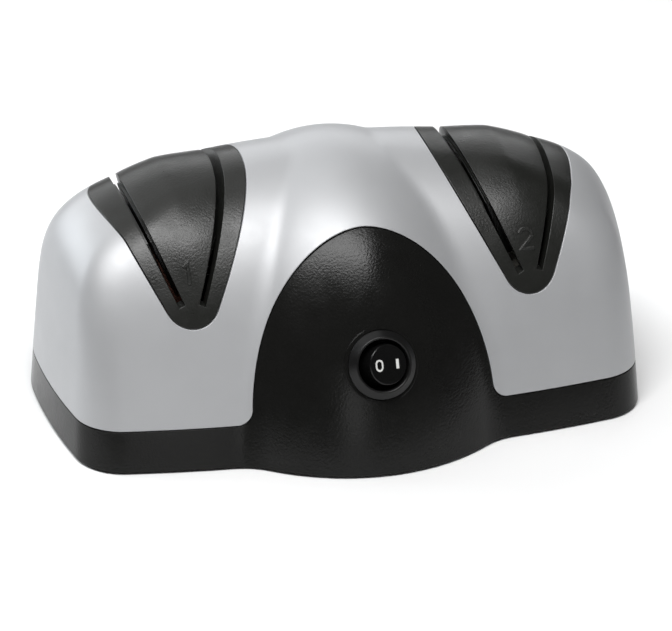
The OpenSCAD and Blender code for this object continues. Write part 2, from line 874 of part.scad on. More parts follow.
module cooling_fan() {
    color([0.2, 0.35, 0.5]) shaft_line() translate([0, 0, fan_x]) difference() {
        union() {
            cylinder(r = shaft_r + 3, h = fan_l);
            cylinder(d = fan_d - 8, h = 1);
            for (i = [0:fan_blades - 1]) rotate([0, 0, i * 360 / fan_blades]) {
                translate([shaft_r + 1, -0.6, 0]) cube([fan_d / 2 - shaft_r - 1.5, 1.2, fan_l]);
            }
        }
        translate([0, 0, -1]) cylinder(r = shaft_r + 0.02, h = fan_l + 2);
    }
}

flange_t = 2;

// Hub with a flange toward the motor; the wheel slides on from the outside.
module wheel_hub(side) {
    color([0.25, 0.25, 0.27]) shaft_line() translate([0, 0, side * guide_x]) difference() {
        union() {
            cylinder(d = hub_d, h = wheel_t, center = true);
            translate([0, 0, -side * (wheel_t + flange_t) / 2])
                cylinder(d = flange_d, h = flange_t, center = true);
            translate([0, 0, -side * (hub_l / 2 - 1)]) cylinder(r = shaft_r + 3, h = 2, center = true);
        }
        cylinder(r = shaft_r + 0.02, h = 2 * hub_l, center = true);
    }
}

module wheel_hub_1() { wheel_hub(-1); }

module wheel_hub_2() { wheel_hub(1); }

module grinding_wheel(side, tone) {
    color(tone) shaft_line() translate([0, 0, side * guide_x]) difference() {
        cylinder(d = wheel_d, h = wheel_t, center = true, $fn = 96);
        cylinder(d = hub_d + 0.04, h = wheel_t + 2, center = true);
    }
}

module grinding_wheel_1() { grinding_wheel(-1, [0.62, 0.36, 0.3]); }

module grinding_wheel_2() { grinding_wheel(1, [0.9, 0.88, 0.84]); }

module wheel_washers() {
    color([0.7, 0.7, 0.72]) shaft_line() for (s = [-1, 1]) {
        translate([0, 0, s * (guide_x + wheel_t / 2 + 0.75)]) difference() {
            cylinder(d = flange_d, h = 1.5, center = true);
            cylinder(r = shaft_r + 0.02, h = 4, center = true);
        }
    }
}

nut_t = 5;

module wheel_nuts() {
    color([0.7, 0.7, 0.72]) shaft_line() for (s = [-1, 1]) {
        translate([0, 0, s * (guide_x + wheel_t / 2 + 1.5 + nut_t / 2)]) difference() {
            cylinder(d = 11.5, h = nut_t, center = true, $fn = 6);
            cylinder(r = shaft_r + 0.02, h = nut_t + 2, center = true);
        }
    }
}

// ---------------------------------------------------------------- drawing

upper_housing();
base_pan();
guide_insert_1();
guide_insert_2();
switch_body();
switch_rocker();
switch_marks();
switch_terminals();
cord_inlet();
feet();
case_screws();
motor_stack();
shading_rings();
coil_bobbin();
coil();
bracket_1();
bracket_2();
bearing_1();
bearing_2();
motor_bolts();
motor_grommets();
mount_screws();
motor_shaft();
rotor_core();
rotor_cage();
cooling_fan();
wheel_hub_1();
wheel_hub_2();
grinding_wheel_1();
grinding_wheel_2();
wheel_washers();
wheel_nuts();
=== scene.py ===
"""Looks of a two-stage electric knife sharpener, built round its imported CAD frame.

Every length in the form classes is in millimetres, in the same frame as the CAD, and becomes
metres when a mesh is written.
"""

import json
import logging
import math
from dataclasses import dataclass, field
from enum import Enum
from typing import Any, Callable, Iterable, Sequence

import bmesh
import bpy
import numpy as np
from bmesh.types import BMEdge, BMesh, BMVert
from bpy.types import Material, Node, NodeSocket, NodeTree, Object
from mathutils import Matrix, Vector


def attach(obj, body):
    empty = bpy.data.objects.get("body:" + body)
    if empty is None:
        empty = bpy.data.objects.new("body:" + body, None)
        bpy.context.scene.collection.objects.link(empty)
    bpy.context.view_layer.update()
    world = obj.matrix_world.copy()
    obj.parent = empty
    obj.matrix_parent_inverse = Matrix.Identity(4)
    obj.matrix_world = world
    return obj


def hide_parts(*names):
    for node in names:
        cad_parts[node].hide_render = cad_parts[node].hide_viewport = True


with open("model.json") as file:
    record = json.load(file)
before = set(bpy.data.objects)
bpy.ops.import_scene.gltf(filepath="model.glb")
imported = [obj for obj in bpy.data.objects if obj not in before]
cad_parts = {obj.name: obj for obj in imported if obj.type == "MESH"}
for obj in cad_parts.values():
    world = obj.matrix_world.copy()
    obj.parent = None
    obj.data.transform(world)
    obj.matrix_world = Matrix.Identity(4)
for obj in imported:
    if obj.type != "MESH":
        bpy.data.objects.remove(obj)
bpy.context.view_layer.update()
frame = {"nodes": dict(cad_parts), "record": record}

log = logging.getLogger("sharpener")
MM = 0.001
TINY = 1e-9
OUTSIDE = 99.0

# Shares and sizes, in millimetres, that every finish works with.
CLOUD_SIZE = 24.0
CLOUD_SHARE = 0.65
RELIEF_SHARE = 0.35
SMUDGE_SIZE = 9.0
WEAR_PATCH_SIZE = 3.0
BRUSH_STRETCH = 14.0
BAND_RATE = 0.32
COAT_ROUGHNESS = 0.12

Outline = list[tuple[float, float]]
Share = Callable[[np.ndarray], np.ndarray]


# ------------------------------------------------------------------------------ finishes


class Grain(Enum):
    """Kinds of surface relief that a finish can carry."""

    FINE = "fine"
    PEBBLE = "pebble"
    GRIT = "grit"
    BRUSHED = "brushed"
    SHEETS = "sheets"
    WOUND = "wound"


class NodeBench:
    """Adds and wires the shader nodes of one material."""

    def __init__(self, tree: NodeTree) -> None:
        """Starts with the Object coordinates, which every texture reads."""
        self.tree = tree
        self.place = tree.nodes.new("ShaderNodeTexCoord").outputs["Object"]

    def fill(self, node: Node, inputs: dict[str | int, Any]) -> Node:
        """Links or sets a node's inputs.

        Args:
            node: The node.
            inputs: A socket to link or a value to set, for each input's name or number.

        Returns:
            The same node.
        """
        for key, value in inputs.items():
            if isinstance(value, NodeSocket):
                self.tree.links.new(value, node.inputs[key])
            else:
                node.inputs[key].default_value = value
        return node

    def add(self, kind: str, out: str | int, inputs: dict[str | int, Any],
            **options: Any) -> NodeSocket:
        """Adds a node.

        Args:
            kind: The node's type, without its prefix.
            out: Name or number of the output that is wanted.
            inputs: A socket to link or a value to set, for each input's name or number.
            **options: The node's own settings.

        Returns:
            The output.
        """
        node = self.tree.nodes.new(f"ShaderNode{kind}")
        for key, value in options.items():
            setattr(node, key, value)
        return self.fill(node, inputs).outputs[out]

    def noise(self, size: float, detail: float = 3.0, rough: float = 0.55,
              place: NodeSocket | None = None) -> NodeSocket:
        """Adds a noise.

        Args:
            size: About the size of its features, in millimetres.
            detail: Octaves.
            rough: Weight of the finer octaves.
            place: Coordinates in place of the usual ones.

        Returns:
            A value from 0 to 1.
        """
        return self.add("TexNoise", "Fac", {
            "Vector": place or self.place, "Scale": 1.0 / (size * MM), "Detail": detail,
            "Roughness": rough})


@dataclass(frozen=True)
class Finish:
    """A procedural finish: colour that drifts, roughness that varies, relief and rounded edges.

    Attributes:
        name: The material's name.
        colour: Linear base colour.
        drift: How far the colour drifts lighter and darker, as a share.
        metallic: Share of metal.
        roughness: Mean roughness.
        spread: How far the roughness varies.
        grain: Kind of relief.
        size: Size of one grain, in millimetres.
        depth: Height of the relief, in millimetres.
        edge: Radius at which sharp edges are shaded round, in millimetres.
        coat: Weight of a clear coat.
        specular: Strength of the plain reflection.
        worn: How much lighter the edges are rubbed.
    """

    name: str
    colour: tuple[float, float, float]
    drift: float = 0.06
    metallic: float = 0.0
    roughness: float = 0.5
    spread: float = 0.08
    grain: Grain = Grain.FINE
    size: float = 0.5
    depth: float = 0.01
    edge: float = 0.25
    coat: float = 0.0
    specular: float = 0.5
    worn: float = 0.0

    def build(self) -> Material:
        """Builds the material.

        Returns:
            A material whose colour, roughness and relief read Object coordinates.
        """
        mat = bpy.data.materials.new(self.name)
        mat.use_nodes = True
        bench = NodeBench(mat.node_tree)
        relief = self._relief(bench)
        bench.fill(mat.node_tree.nodes["Principled BSDF"], {
            "Metallic": self.metallic, "Coat Weight": self.coat,
            "Coat Roughness": COAT_ROUGHNESS, "Specular IOR Level": self.specular,
            "Base Color": self._colour(bench, relief), "Roughness": self._rough(bench),
            "Normal": self._bump(bench, relief)})
        return mat

    def _relief(self, bench: NodeBench) -> NodeSocket:
        """Adds the relief.

        Args:
            bench: The material's bench.

        Returns:
            Its height, from 0 to 1.
        """
        if self.grain is Grain.BRUSHED:
            drawn = bench.add("Mapping", "Vector", {
                "Vector": bench.place, "Scale": (1.0, BRUSH_STRETCH, BRUSH_STRETCH)})
            return bench.noise(self.size * 6, place=drawn)
        if self.grain in (Grain.SHEETS, Grain.WOUND):
            return bench.add("TexWave", "Fac", {
                "Vector": bench.place, "Scale": BAND_RATE / (self.size * MM), "Distortion": 0.15},
                bands_direction="X" if self.grain is Grain.SHEETS else "Z")
        if self.grain is Grain.FINE:
            return bench.noise(self.size, 4.0, 0.6)
        cells = bench.add("TexVoronoi", "Distance",
                          {"Vector": bench.place, "Scale": 1.0 / (self.size * MM)},
                          feature="SMOOTH_F1" if self.grain is Grain.PEBBLE else "F1")
        return bench.add("Math", "Value", {0: cells, 1: -0.8, 2: bench.noise(self.size * 0.7)},
                         operation="MULTIPLY_ADD")

    def _colour(self, bench: NodeBench, relief: NodeSocket) -> NodeSocket:
        """Lets the colour drift with a broad cloud and a little with the relief.

        Args:
            bench: The material's bench.
            relief: The relief's height.

        Returns:
            The colour.
        """
        cloud = bench.add("Math", "Value", {0: bench.noise(CLOUD_SIZE, 2.0), 1: CLOUD_SHARE},
                          operation="MULTIPLY")
        mixed = bench.add("Math", "Value", {0: relief, 1: RELIEF_SHARE, 2: cloud},
                          operation="MULTIPLY_ADD")
        colour = bench.add("ValToRGB", "Color", {"Fac": mixed})
        ends = colour.node.color_ramp.elements
        for end, position, sign in zip(ends, (0.3, 0.7), (-1.0, 1.0)):
            end.position = position
            end.color = (*(max(0.0, c * (1.0 + sign * self.drift)) for c in self.colour), 1.0)
        return self._wear(bench, colour) if self.worn > 0 else colour

    def _wear(self, bench: NodeBench, colour: NodeSocket) -> NodeSocket:
        """Rubs convex edges lighter where a patchy noise allows it.

        Args:
            bench: The material's bench.
            colour: The colour before wear.

        Returns:
            The worn colour.
        """
        point = bench.add("NewGeometry", "Pointiness", {})
        edge = bench.add("MapRange", "Result", {
            "Value": point, "From Min": 0.52, "From Max": 0.62, "To Max": self.worn})
        patch = bench.add("Math", "Value", {0: edge, 1: bench.noise(WEAR_PATCH_SIZE)},
                          operation="MULTIPLY")
        rubbed = (*(min(1.0, c * 1.5 + 0.05) for c in self.colour), 1.0)
        return bench.add("Mix", 2, {"Factor": patch, 6: colour, 7: rubbed}, data_type="RGBA")

    def _rough(self, bench: NodeBench) -> NodeSocket:
        """Lets the roughness vary with a smudgy noise.

        Args:
            bench: The material's bench.

        Returns:
            The roughness.
        """
        return bench.add("MapRange", "Result", {
            "Value": bench.noise(SMUDGE_SIZE, 4.0, 0.65), "From Min": 0.3, "From Max": 0.7,
            "To Min": self.roughness - self.spread, "To Max": self.roughness + self.spread})

    def _bump(self, bench: NodeBench, relief: NodeSocket) -> NodeSocket:
        """Raises the relief on a normal that is rounded at sharp edges.

        Args:
            bench: The material's bench.
            relief: The relief's height.

        Returns:
            The normal.
        """
        inputs = {"Strength": 1.0, "Distance": self.depth * MM, "Height": relief}
        if self.edge > 0:
            inputs["Normal"] = bench.add("Bevel", "Normal", {"Radius": self.edge * MM}, samples=6)
        return bench.add("Bump", "Normal", inputs)


SILVER_PAINT = Finish("silver_paint", (0.41, 0.415, 0.425), drift=0.03, metallic=0.34,
                      roughness=0.44, spread=0.03, size=0.35, depth=0.004, edge=0.45)
BLACK_PEBBLE = Finish("black_pebble_plastic", (0.007, 0.007, 0.0065), drift=0.12, roughness=0.21,
                      spread=0.05, grain=Grain.PEBBLE, size=0.8, depth=0.042, edge=0.4,
                      specular=0.21)
GUIDE_SATIN = Finish("satin_guide_plastic", (0.011, 0.0115, 0.010), drift=0.12, roughness=0.33,
                     spread=0.06, grain=Grain.PEBBLE, size=0.75, depth=0.045, edge=0.35,
                     specular=0.42)
SWITCH_SATIN = Finish("switch_rim_plastic", (0.006, 0.006, 0.006), roughness=0.30, spread=0.04,
                      size=0.3, depth=0.003, edge=0.15, specular=0.28)
ROCKER_GLOSS = Finish("rocker_gloss_plastic", (0.004, 0.004, 0.004), roughness=0.16, spread=0.04,
                      size=2.0, depth=0.004, edge=0.2, specular=0.28)
MARK_WHITE = Finish("white_mark_print", (0.66, 0.66, 0.64), drift=0.03, roughness=0.45, size=0.2,
                    depth=0.002, edge=0.0)
BLACK_RUBBER = Finish("black_rubber", (0.018, 0.018, 0.018), drift=0.2, roughness=0.75, size=0.4,
                      specular=0.3)
SCREW_STEEL = Finish("zinc_screw_steel", (0.55, 0.56, 0.57), metallic=1.0, roughness=0.34,
                     size=0.8, depth=0.004, edge=0.15, worn=0.3)
STACK_STEEL = Finish("stacked_sheet_steel", (0.25, 0.26, 0.28), drift=0.25, metallic=0.9,
                     roughness=0.48, grain=Grain.SHEETS, depth=0.06)
WOUND_COPPER = Finish("wound_copper_wire", (0.55, 0.20, 0.07), drift=0.15, metallic=0.8,
                      roughness=0.32, grain=Grain.WOUND, size=0.35, depth=0.10, coat=0.5)
BOBBIN_NYLON = Finish("natural_nylon", (0.66, 0.63, 0.52), drift=0.05, roughness=0.42, size=1.0)
CAST_ALLOY = Finish("die_cast_alloy", (0.55, 0.56, 0.58), drift=0.12, metallic=0.95, size=0.7,
                    depth=0.02, worn=0.3)
SINTERED_BRONZE = Finish("sintered_bronze", (0.36, 0.23, 0.10), drift=0.2, metallic=0.85,
                         grain=Grain.GRIT, size=0.25)
GROUND_STEEL = Finish("ground_shaft_steel", (0.58, 0.59, 0.60), metallic=1.0, roughness=0.25,
                      grain=Grain.BRUSHED, size=0.3, depth=0.003)
FAN_BLUE = Finish("fan_plastic", (0.03, 0.08, 0.16), drift=0.1, roughness=0.42, size=1.2)
HUB_BLACK = Finish("hub_plastic", (0.02, 0.02, 0.022), drift=0.15, size=0.8)
COARSE_GRIT = Finish("coarse_grit", (0.20, 0.085, 0.06), drift=0.35, roughness=0.85, spread=0.1,
                     grain=Grain.GRIT, size=0.7, depth=0.16, edge=0.0, specular=0.3)
FINE_GRIT = Finish("fine_grit", (0.52, 0.50, 0.45), drift=0.15, roughness=0.8, spread=0.1,
                   grain=Grain.GRIT, size=0.3, depth=0.05, edge=0.0, specular=0.3)
BRASS_TAB = Finish("brass_tab", (0.60, 0.42, 0.14), metallic=1.0, roughness=0.3,
                   grain=Grain.BRUSHED, size=0.3, depth=0.003)
PALE_FLOOR = Finish("pale_floor", (0.88, 0.88, 0.88), drift=0.004, roughness=0.9, spread=0.02,
                    size=40.0, depth=0.0, edge=0.0, specular=0.1)


class Paintbox:
    """Builds each finish once and puts it on pieces."""

    def __init__(self) -> None:
        """Starts with no material built."""
        self._made: dict[str, Material] = {}

    def get(self, finish: Finish) -> Material:
        """Finds a finish's one material, and builds it where there is none yet.

        Args:
            finish: The finish.

        Returns:
            The material.
        """
        if finish.name not in self._made:
            self._made[finish.name] = finish.build()
        return self._made[finish.name]

    def coat(self, obj: Object, finish: Finish) -> None:
        """Puts a finish in every material slot, and makes a slot where there is none.

        Args:
            obj: The piece or the CAD node.
            finish: The finish.
        """
        if not obj.material_slots:
            obj.data.materials.append(None)
        for place in obj.material_slots:
            place.material = self.get(finish)

    def dress(self, obj: Object, finish: Finish, body: str, node: str, slot: str) -> None:
        """Coats a new piece, puts it on its body and reports it.

        Args:
            obj: The piece.
            finish: Its finish.
            body: The CAD body that it rides on.
            node: The CAD node that it stands for.
            slot: The record's material slot, which is not used.
        """
        self.coat(obj, finish)
        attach(obj, body)
        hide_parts(node)
        log.info("%s: %d faces", obj.name, len(obj.data.polygons))


# ------------------------------------------------------------------------------ forms


@dataclass(frozen=True)
class BodyForm:
    """The sharpener's outer form: two arched wings and a bulged centre, in millimetres.

    A share function says how far out points lie in a form: 1 is its surface, less is inside.
    """

    half_l: float = 103.8
    wing_front: float = 67.3
    wing_rear: float = 61.7
    wing_h: float = 86.8
    centre_front: float = 82.0
    centre_rear: float = 64.0
    centre_half_w: float = 72.5
    dome_rise: float = 2.0
    flat_half: float = 15.0
    front_r: float = 418.0
    end_r: float = 252.0
    corner_r: float = 17.6
    arch_drop: float = 86.0
    dome_drop: float = 36.0
    end_lean: float = 0.055
    top_n: float = 9.4
    top_m: float = 1.54
    rear_q: float = 2.17
    round_k: float = 6.5
    round_w: float = 0.97
    crease: float = 0.05

    @property
    def crest_y(self) -> float:
        """Depth of the crest line from the footprint's middle."""
        return (self.centre_front - self.centre_rear) / 2

    @property
    def dome_h(self) -> float:
        """Height of the dome."""
        return self.wing_h + self.dome_rise

    @staticmethod
    def arch(z: np.ndarray, top: float, drop: float) -> np.ndarray:
        """Depth of an arch at height z, as a share of its depth at the counter."""
        low = math.sqrt(1 - (drop / (top + drop)) ** 2)
        return np.sqrt(np.maximum(0, 1 - ((z + drop) / (top + drop)) ** 2)) / low

    def _front_table(self, inset: float, steps: int = 160) -> tuple[np.ndarray, np.ndarray]:
        """Follows the front outline: a broad arc, a corner and an end arc that meet smoothly.

        Args:
            inset: How far the outline is pushed inward.
            steps: Points on each arc.

        Returns:
            Angle and radius along it, in shares of its half length and depth.
        """
        length, depth = self.half_l - inset, self.wing_front - inset
        corner = self.corner_r - inset
        c1 = np.array([self.flat_half, depth - self.front_r])
        c3 = np.array([length - self.end_r, 0.0])
        r1, r3 = self.front_r - corner, self.end_r - corner
        gap = c3 - c1
        far = float(np.hypot(*gap))
        along = (r1 ** 2 - r3 ** 2 + far ** 2) / (2 * far)
        off = math.sqrt(r1 ** 2 - along ** 2)
        side = -1.0 if gap[0] < 0 else 1.0
        c2 = c1 + gap * along / far + off * np.array([-gap[1], gap[0]]) / far * side
        a1 = math.atan2(*(c2 - c1)[::-1])
        a3 = math.atan2(*(c2 - c3)[::-1])
        points = [np.array([[0.0, depth]])]
        for centre, radius, start, stop in ((c1, self.front_r, math.pi / 2, a1),
                                            (c2, corner, a1, a3), (c3, self.end_r, a3, 0.0)):
            a = np.linspace(start, stop, steps)
            points.append(centre + radius * np.stack([np.cos(a), np.sin(a)], 1))
        line = np.concatenate(points) / (length, depth)
        angle = np.arctan2(line[:, 1], line[:, 0])
        order = np.argsort(angle)
        return angle[order], np.hypot(line[:, 0], line[:, 1])[order]

    def wing_share(self, p: np.ndarray, inset: float = 0.0) -> np.ndarray:
        """Share function of the two wings.

        Args:
            p: Points, one in each row.
            inset: How far the surface is pushed inward.

        Returns:
            Each point's share.
        """
        top, length = self.wing_h - inset, self.half_l - inset
        z = p[:, 2]
        t = np.clip(z / top, 0, 1)
        blend = self.round_w * t ** self.round_k
        sx = (1 - self.end_lean * z / 100) * np.maximum(0, 1 - t ** self.top_n) ** (1 / self.top_m)
        sy = self.arch(z, top, self.arch_drop)
        ahead = self.crest_y - p[:, 1]
        depth = np.where(ahead >= 0, self.wing_front, self.wing_rear) - inset
        x = np.abs(p[:, 0]) / np.maximum(sx * length, TINY)
        y = np.abs(ahead) / np.maximum(sy * depth, TINY)
        a = np.arctan2(y, x)
        front = np.interp(a, *self._front_table(inset))
        q = self.rear_q
        rear = (np.cos(a) ** q + np.abs(np.sin(a)) ** q) ** (-1 / q)
        plan = np.where(ahead >= 0, front, rear)
        share = np.hypot(x, y) / ((1 - blend) * plan + blend)
        return np.where(z >= top, OUTSIDE, share)

    def centre_share(self, p: np.ndarray, inset: float = 0.0) -> np.ndarray:
        """Share function of the bulged centre.

        Args:
            p: Points, one in each row.
            inset: How far the surface is pushed inward.

        Returns:
            Each point's share.
        """
        top = self.dome_h - inset
        s = self.arch(p[:, 2], top, self.dome_drop)
        ahead = self.crest_y - p[:, 1]
        depth = np.where(ahead >= 0, self.centre_front, self.centre_rear) - inset
        x = p[:, 0] / np.maximum(s * (self.centre_half_w - inset), TINY)
        y = ahead / np.maximum(s * depth, TINY)
        return np.where(p[:, 2] >= top, OUTSIDE, np.hypot(x, y))

    def body_share(self, p: np.ndarray, inset: float = 0.0) -> np.ndarray:
        """Share function of both forms as one, with the crease between them filled softly.

        Args:
            p: Points, one in each row.
            inset: How far the surface is pushed inward.

        Returns:
            Each point's share.
        """
        a, b = self.wing_share(p, inset), self.centre_share(p, inset)
        near = np.maximum(self.crease - np.abs(a - b), 0)
        return np.minimum(a, b) - near ** 2 / (4 * self.crease)

    @staticmethod
    def reach(share: Share, start: np.ndarray, way: np.ndarray, far: float = 160.0,
              halvings: int = 38) -> np.ndarray:
        """Finds where rays leave a form.

        Args:
            share: The form's share function.
            start: Start of each ray, inside the form.
            way: Unit direction of each ray.
            far: A length that is outside the form.
            halvings: How often the span that holds the surface is halved.

        Returns:
            The points where the share is 1.
        """
        low, high = np.zeros(len(way)), np.full(len(way), far)
        for _ in range(halvings):
            mid = (low + high) / 2
            inside = share(start + way * mid[:, None]) < 1
            low, high = np.where(inside, mid, low), np.where(inside, high, mid)
        return start + way * ((low + high) / 2)[:, None]

    def _centre_arch(self, z: float) -> float:
        """The bulged centre's depth at height z, as a share of its depth at the counter."""
        return float(self.arch(np.array([z]), self.dome_h, self.dome_drop)[0])

    def centre_front_y(self, z: float) -> float:
        """Place of the bulged centre's front, on the middle line at height z."""
        return self.crest_y - self.centre_front * self._centre_arch(z)

    def centre_rear_y(self, z: float) -> float:
        """Place of the bulged centre's rear, on the middle line at height z."""
        return self.crest_y + self.centre_rear * self._centre_arch(z)


# ------------------------------------------------------------------------------ mesh tools


def to_object(bm: BMesh, name: str) -> Object:
    """Turns a bmesh in millimetres into a linked object in metres.

    Args:
        bm: The bmesh, which is freed.
        name: The object's name.

    Returns:
        The new object, at the origin.
    """
    bmesh.ops.recalc_face_normals(bm, faces=bm.faces)
    bmesh.ops.scale(bm, vec=(MM, MM, MM), verts=bm.verts)
    mesh = bpy.data.meshes.new(name)
    bm.to_mesh(mesh)
    bm.free()
    obj = bpy.data.objects.new(name, mesh)
    bpy.context.scene.collection.objects.link(obj)
    return obj


def place_points(verts: Iterable[BMVert], points: np.ndarray) -> None:
    """Moves each vertex to its own point."""
    for v, p in zip(verts, points):
        v.co = p


def form_object(form: BodyForm, share: Share, name: str, level: int = 7, floor: float = -6.0,
                heart_z: float = 30.0, ball: tuple[float, float] = (73.0, 46.0)) -> Object:
    """Shrinks a fine ball onto a form.

    Args:
        form: The body form.
        share: The share function to wrap.
        name: The object's name.
        level: Fineness of the ball.
        floor: Height at which the form is closed below.
        heart_z: Height of the ball's middle.
        ball: The ball's stretch in depth and height, which spreads its points evenly.

    Returns:
        A closed object.
    """
    bm = bmesh.new()
    bmesh.ops.create_icosphere(bm, subdivisions=level, radius=1.0)
    way = np.array([v.co[:] for v in bm.verts]) * (form.half_l, *ball)
    way /= np.linalg.norm(way, axis=1)[:, None]
    start = np.tile([0.0, form.crest_y, heart_z], (len(way), 1))

    def closed(p: np.ndarray) -> np.ndarray:
        """The form's share, closed by the floor."""
        return np.where(p[:, 2] < floor, OUTSIDE, share(p))

    place_points(bm.verts, form.reach(closed, start, way))
    return to_object(bm, name)


def prism(outline: Outline, y0: float, y1: float, name: str,
          move: Matrix | None = None) -> Object:
    """Pushes an outline in X and Z from y0 to y1.

    Args:
        outline: Points of the outline, in order.
        y0: Front end.
        y1: Rear end.
        name: The object's name.
        move: A transform in millimetres, applied last.

    Returns:
        A closed object.
    """
    bm = bmesh.new()
    face = bm.faces.new([bm.verts.new((x, y0, z)) for x, z in outline])
    pushed = bmesh.ops.extrude_face_region(bm, geom=[face])
    moved = [g for g in pushed["geom"] if isinstance(g, BMVert)]
    bmesh.ops.translate(bm, vec=(0, y1 - y0, 0), verts=moved)
    if move is not None:
        bmesh.ops.transform(bm, matrix=move, verts=bm.verts)
    return to_object(bm, name)


def lathe(profile: Outline, name: str, move: Matrix, steps: int = 96) -> Object:
    """Spins a profile of radius and height about its own Z axis.

    Args:
        profile: Radius and height pairs that begin and end on the axis or close on themselves.
        name: The object's name.
        move: The transform that puts it in place.
        steps: Steps of the spin.

    Returns:
        A closed object.
    """
    bm = bmesh.new()
    verts = [bm.verts.new((r, 0.0, z)) for r, z in profile]
    edges = [bm.edges.new(pair) for pair in zip(verts, verts[1:])]
    if profile[0][0] > TINY or profile[-1][0] > TINY:
        edges.append(bm.edges.new((verts[-1], verts[0])))
    bmesh.ops.spin(bm, geom=verts + edges, cent=(0, 0, 0), axis=(0, 0, 1), angle=2 * math.pi,
                   steps=steps, use_merge=True)
    bmesh.ops.remove_doubles(bm, verts=bm.verts, dist=1e-4)
    bmesh.ops.transform(bm, matrix=move, verts=bm.verts)
    return to_object(bm, name)


def plug(r: float, low: float, high: float, name: str, move: Matrix, steps: int = 96) -> Object:
    """A plain round bar from low to high along its own Z axis, to cut or pad with."""
    return lathe([(0, low), (r, low), (r, high), (0, high)], name, move, steps)


def boolean(target: Object, tools: Iterable[Object], operation: str) -> None:
    """Joins, cuts or crops an object with tools, which are removed.

    Args:
        target: The object that changes.
        tools: The tool objects.
        operation: UNION, DIFFERENCE or INTERSECT.
    """
    tools = list(tools)
    for tool in tools:
        mod = target.modifiers.new("cut", "BOOLEAN")
        mod.operation = operation
        mod.object = tool
        mod.solver = "MANIFOLD"
    graph = bpy.context.evaluated_depsgraph_get()
    graph.update()
    mesh = bpy.data.meshes.new_from_object(target.evaluated_get(graph))
    target.modifiers.clear()
    old, target.data = target.data, mesh
    bpy.data.meshes.remove(old)
    for tool in tools:
        bpy.data.meshes.remove(tool.data)


def copy_of(obj: Object, name: str) -> Object:
    """Copies an object and its mesh.

    Args:
        obj: The object.
        name: The copy's name.

    Returns:
        The linked copy.
    """
    new = bpy.data.objects.new(name, obj.data.copy())
    bpy.context.scene.collection.objects.link(new)
    return new


def halve(obj: Object, z: float) -> None:
    """Removes what lies below a height and closes the cut.

    Args:
        obj: The object, in metres.
        z: Height of the cut, in millimetres.
    """
    bm = bmesh.new()
    bm.from_mesh(obj.data)
    cut = bmesh.ops.bisect_plane(bm, geom=bm.verts[:] + bm.edges[:] + bm.faces[:], dist=1e-7,
                                 plane_co=(0, 0, z * MM), plane_no=(0, 0, 1), clear_inner=True)
    rim = [g for g in cut["geom_cut"] if isinstance(g, BMEdge)]
    bmesh.ops.holes_fill(bm, edges=rim, sides=0)
    bmesh.ops.recalc_face_normals(bm, faces=bm.faces)
    bm.to_mesh(obj.data)
    bm.free()


def finish_mesh(obj: Object, angle: float = 38.0, weld: float = 2e-6) -> None:
    """Welds stray doubles, smooths the faces and keeps real edges sharp.

    Args:
        obj: The object.
        angle: Angle in degrees above which an edge stays sharp.
        weld: Distance in metres within which vertices are one.
    """
    bm = bmesh.new()
    bm.from_mesh(obj.data)
    bmesh.ops.remove_doubles(bm, verts=bm.verts, dist=weld)
    bmesh.ops.dissolve_degenerate(bm, edges=bm.edges, dist=weld)
    limit = math.radians(angle)
    for face in bm.faces:
        face.smooth = True
    for edge in bm.edges:
        edge.smooth = len(edge.link_faces) == 2 and edge.calc_face_angle(0.0) < limit
    bm.to_mesh(obj.data)
    bm.free()


def arc(centre: tuple[float, float], radius: float, start: float, stop: float,
        steps: int) -> Outline:
    """Points along an arc, with its angles in degrees."""
    turn = [math.radians(start + (stop - start) * i / steps) for i in range(steps + 1)]
    return [(centre[0] + radius * math.cos(a), centre[1] + radius * math.sin(a)) for a in turn]


def box(x: float, half_w: float, z0: float, z1: float) -> Outline:
    """Outline of a rectangle about x, anticlockwise."""
    return [(x - half_w, z0), (x + half_w, z0), (x + half_w, z1), (x - half_w, z1)]


def unit(rows: np.ndarray) -> np.ndarray:
    """Scales each row to length 1."""
    return rows / np.linalg.norm(rows, axis=1)[:, None]


def grown(outline: Outline, by: float) -> Outline:
    """Pushes an anticlockwise outline outward, each point along its own normal.

    Args:
        outline: The outline.
        by: The distance, in millimetres.

    Returns:
        The larger outline.
    """
    p = np.array(outline)
    ahead, behind = unit(np.roll(p, -1, 0) - p), unit(p - np.roll(p, 1, 0))
    n1 = np.stack([ahead[:, 1], -ahead[:, 0]], 1)
    n = unit(n1 + np.stack([behind[:, 1], -behind[:, 0]], 1))
    scale = by / np.maximum((n * n1).sum(1), 0.3)
    return [tuple(q) for q in p + n * scale[:, None]]


def stroke(path: Outline, width: float) -> Outline:
    """Widens an open path into the closed outline of a stroke.

    Args:
        path: Points of the path.
        width: Width of the stroke.

    Returns:
        The outline.
    """
    p = np.array(path)
    step = unit(np.diff(p, axis=0))
    ahead, behind = np.vstack([step, step[-1:]]), np.vstack([step[:1], step])
    n = unit(np.stack([-(ahead + behind)[:, 1], (ahead + behind)[:, 0]], 1))
    fit = np.maximum((n * np.stack([-ahead[:, 1], ahead[:, 0]], 1)).sum(1), 0.5)
    n *= (width / 2 / fit)[:, None]
    return [tuple(q) for q in p + n] + [tuple(q) for q in (p - n)[::-1]]


# ------------------------------------------------------------------------------ sub-assemblies


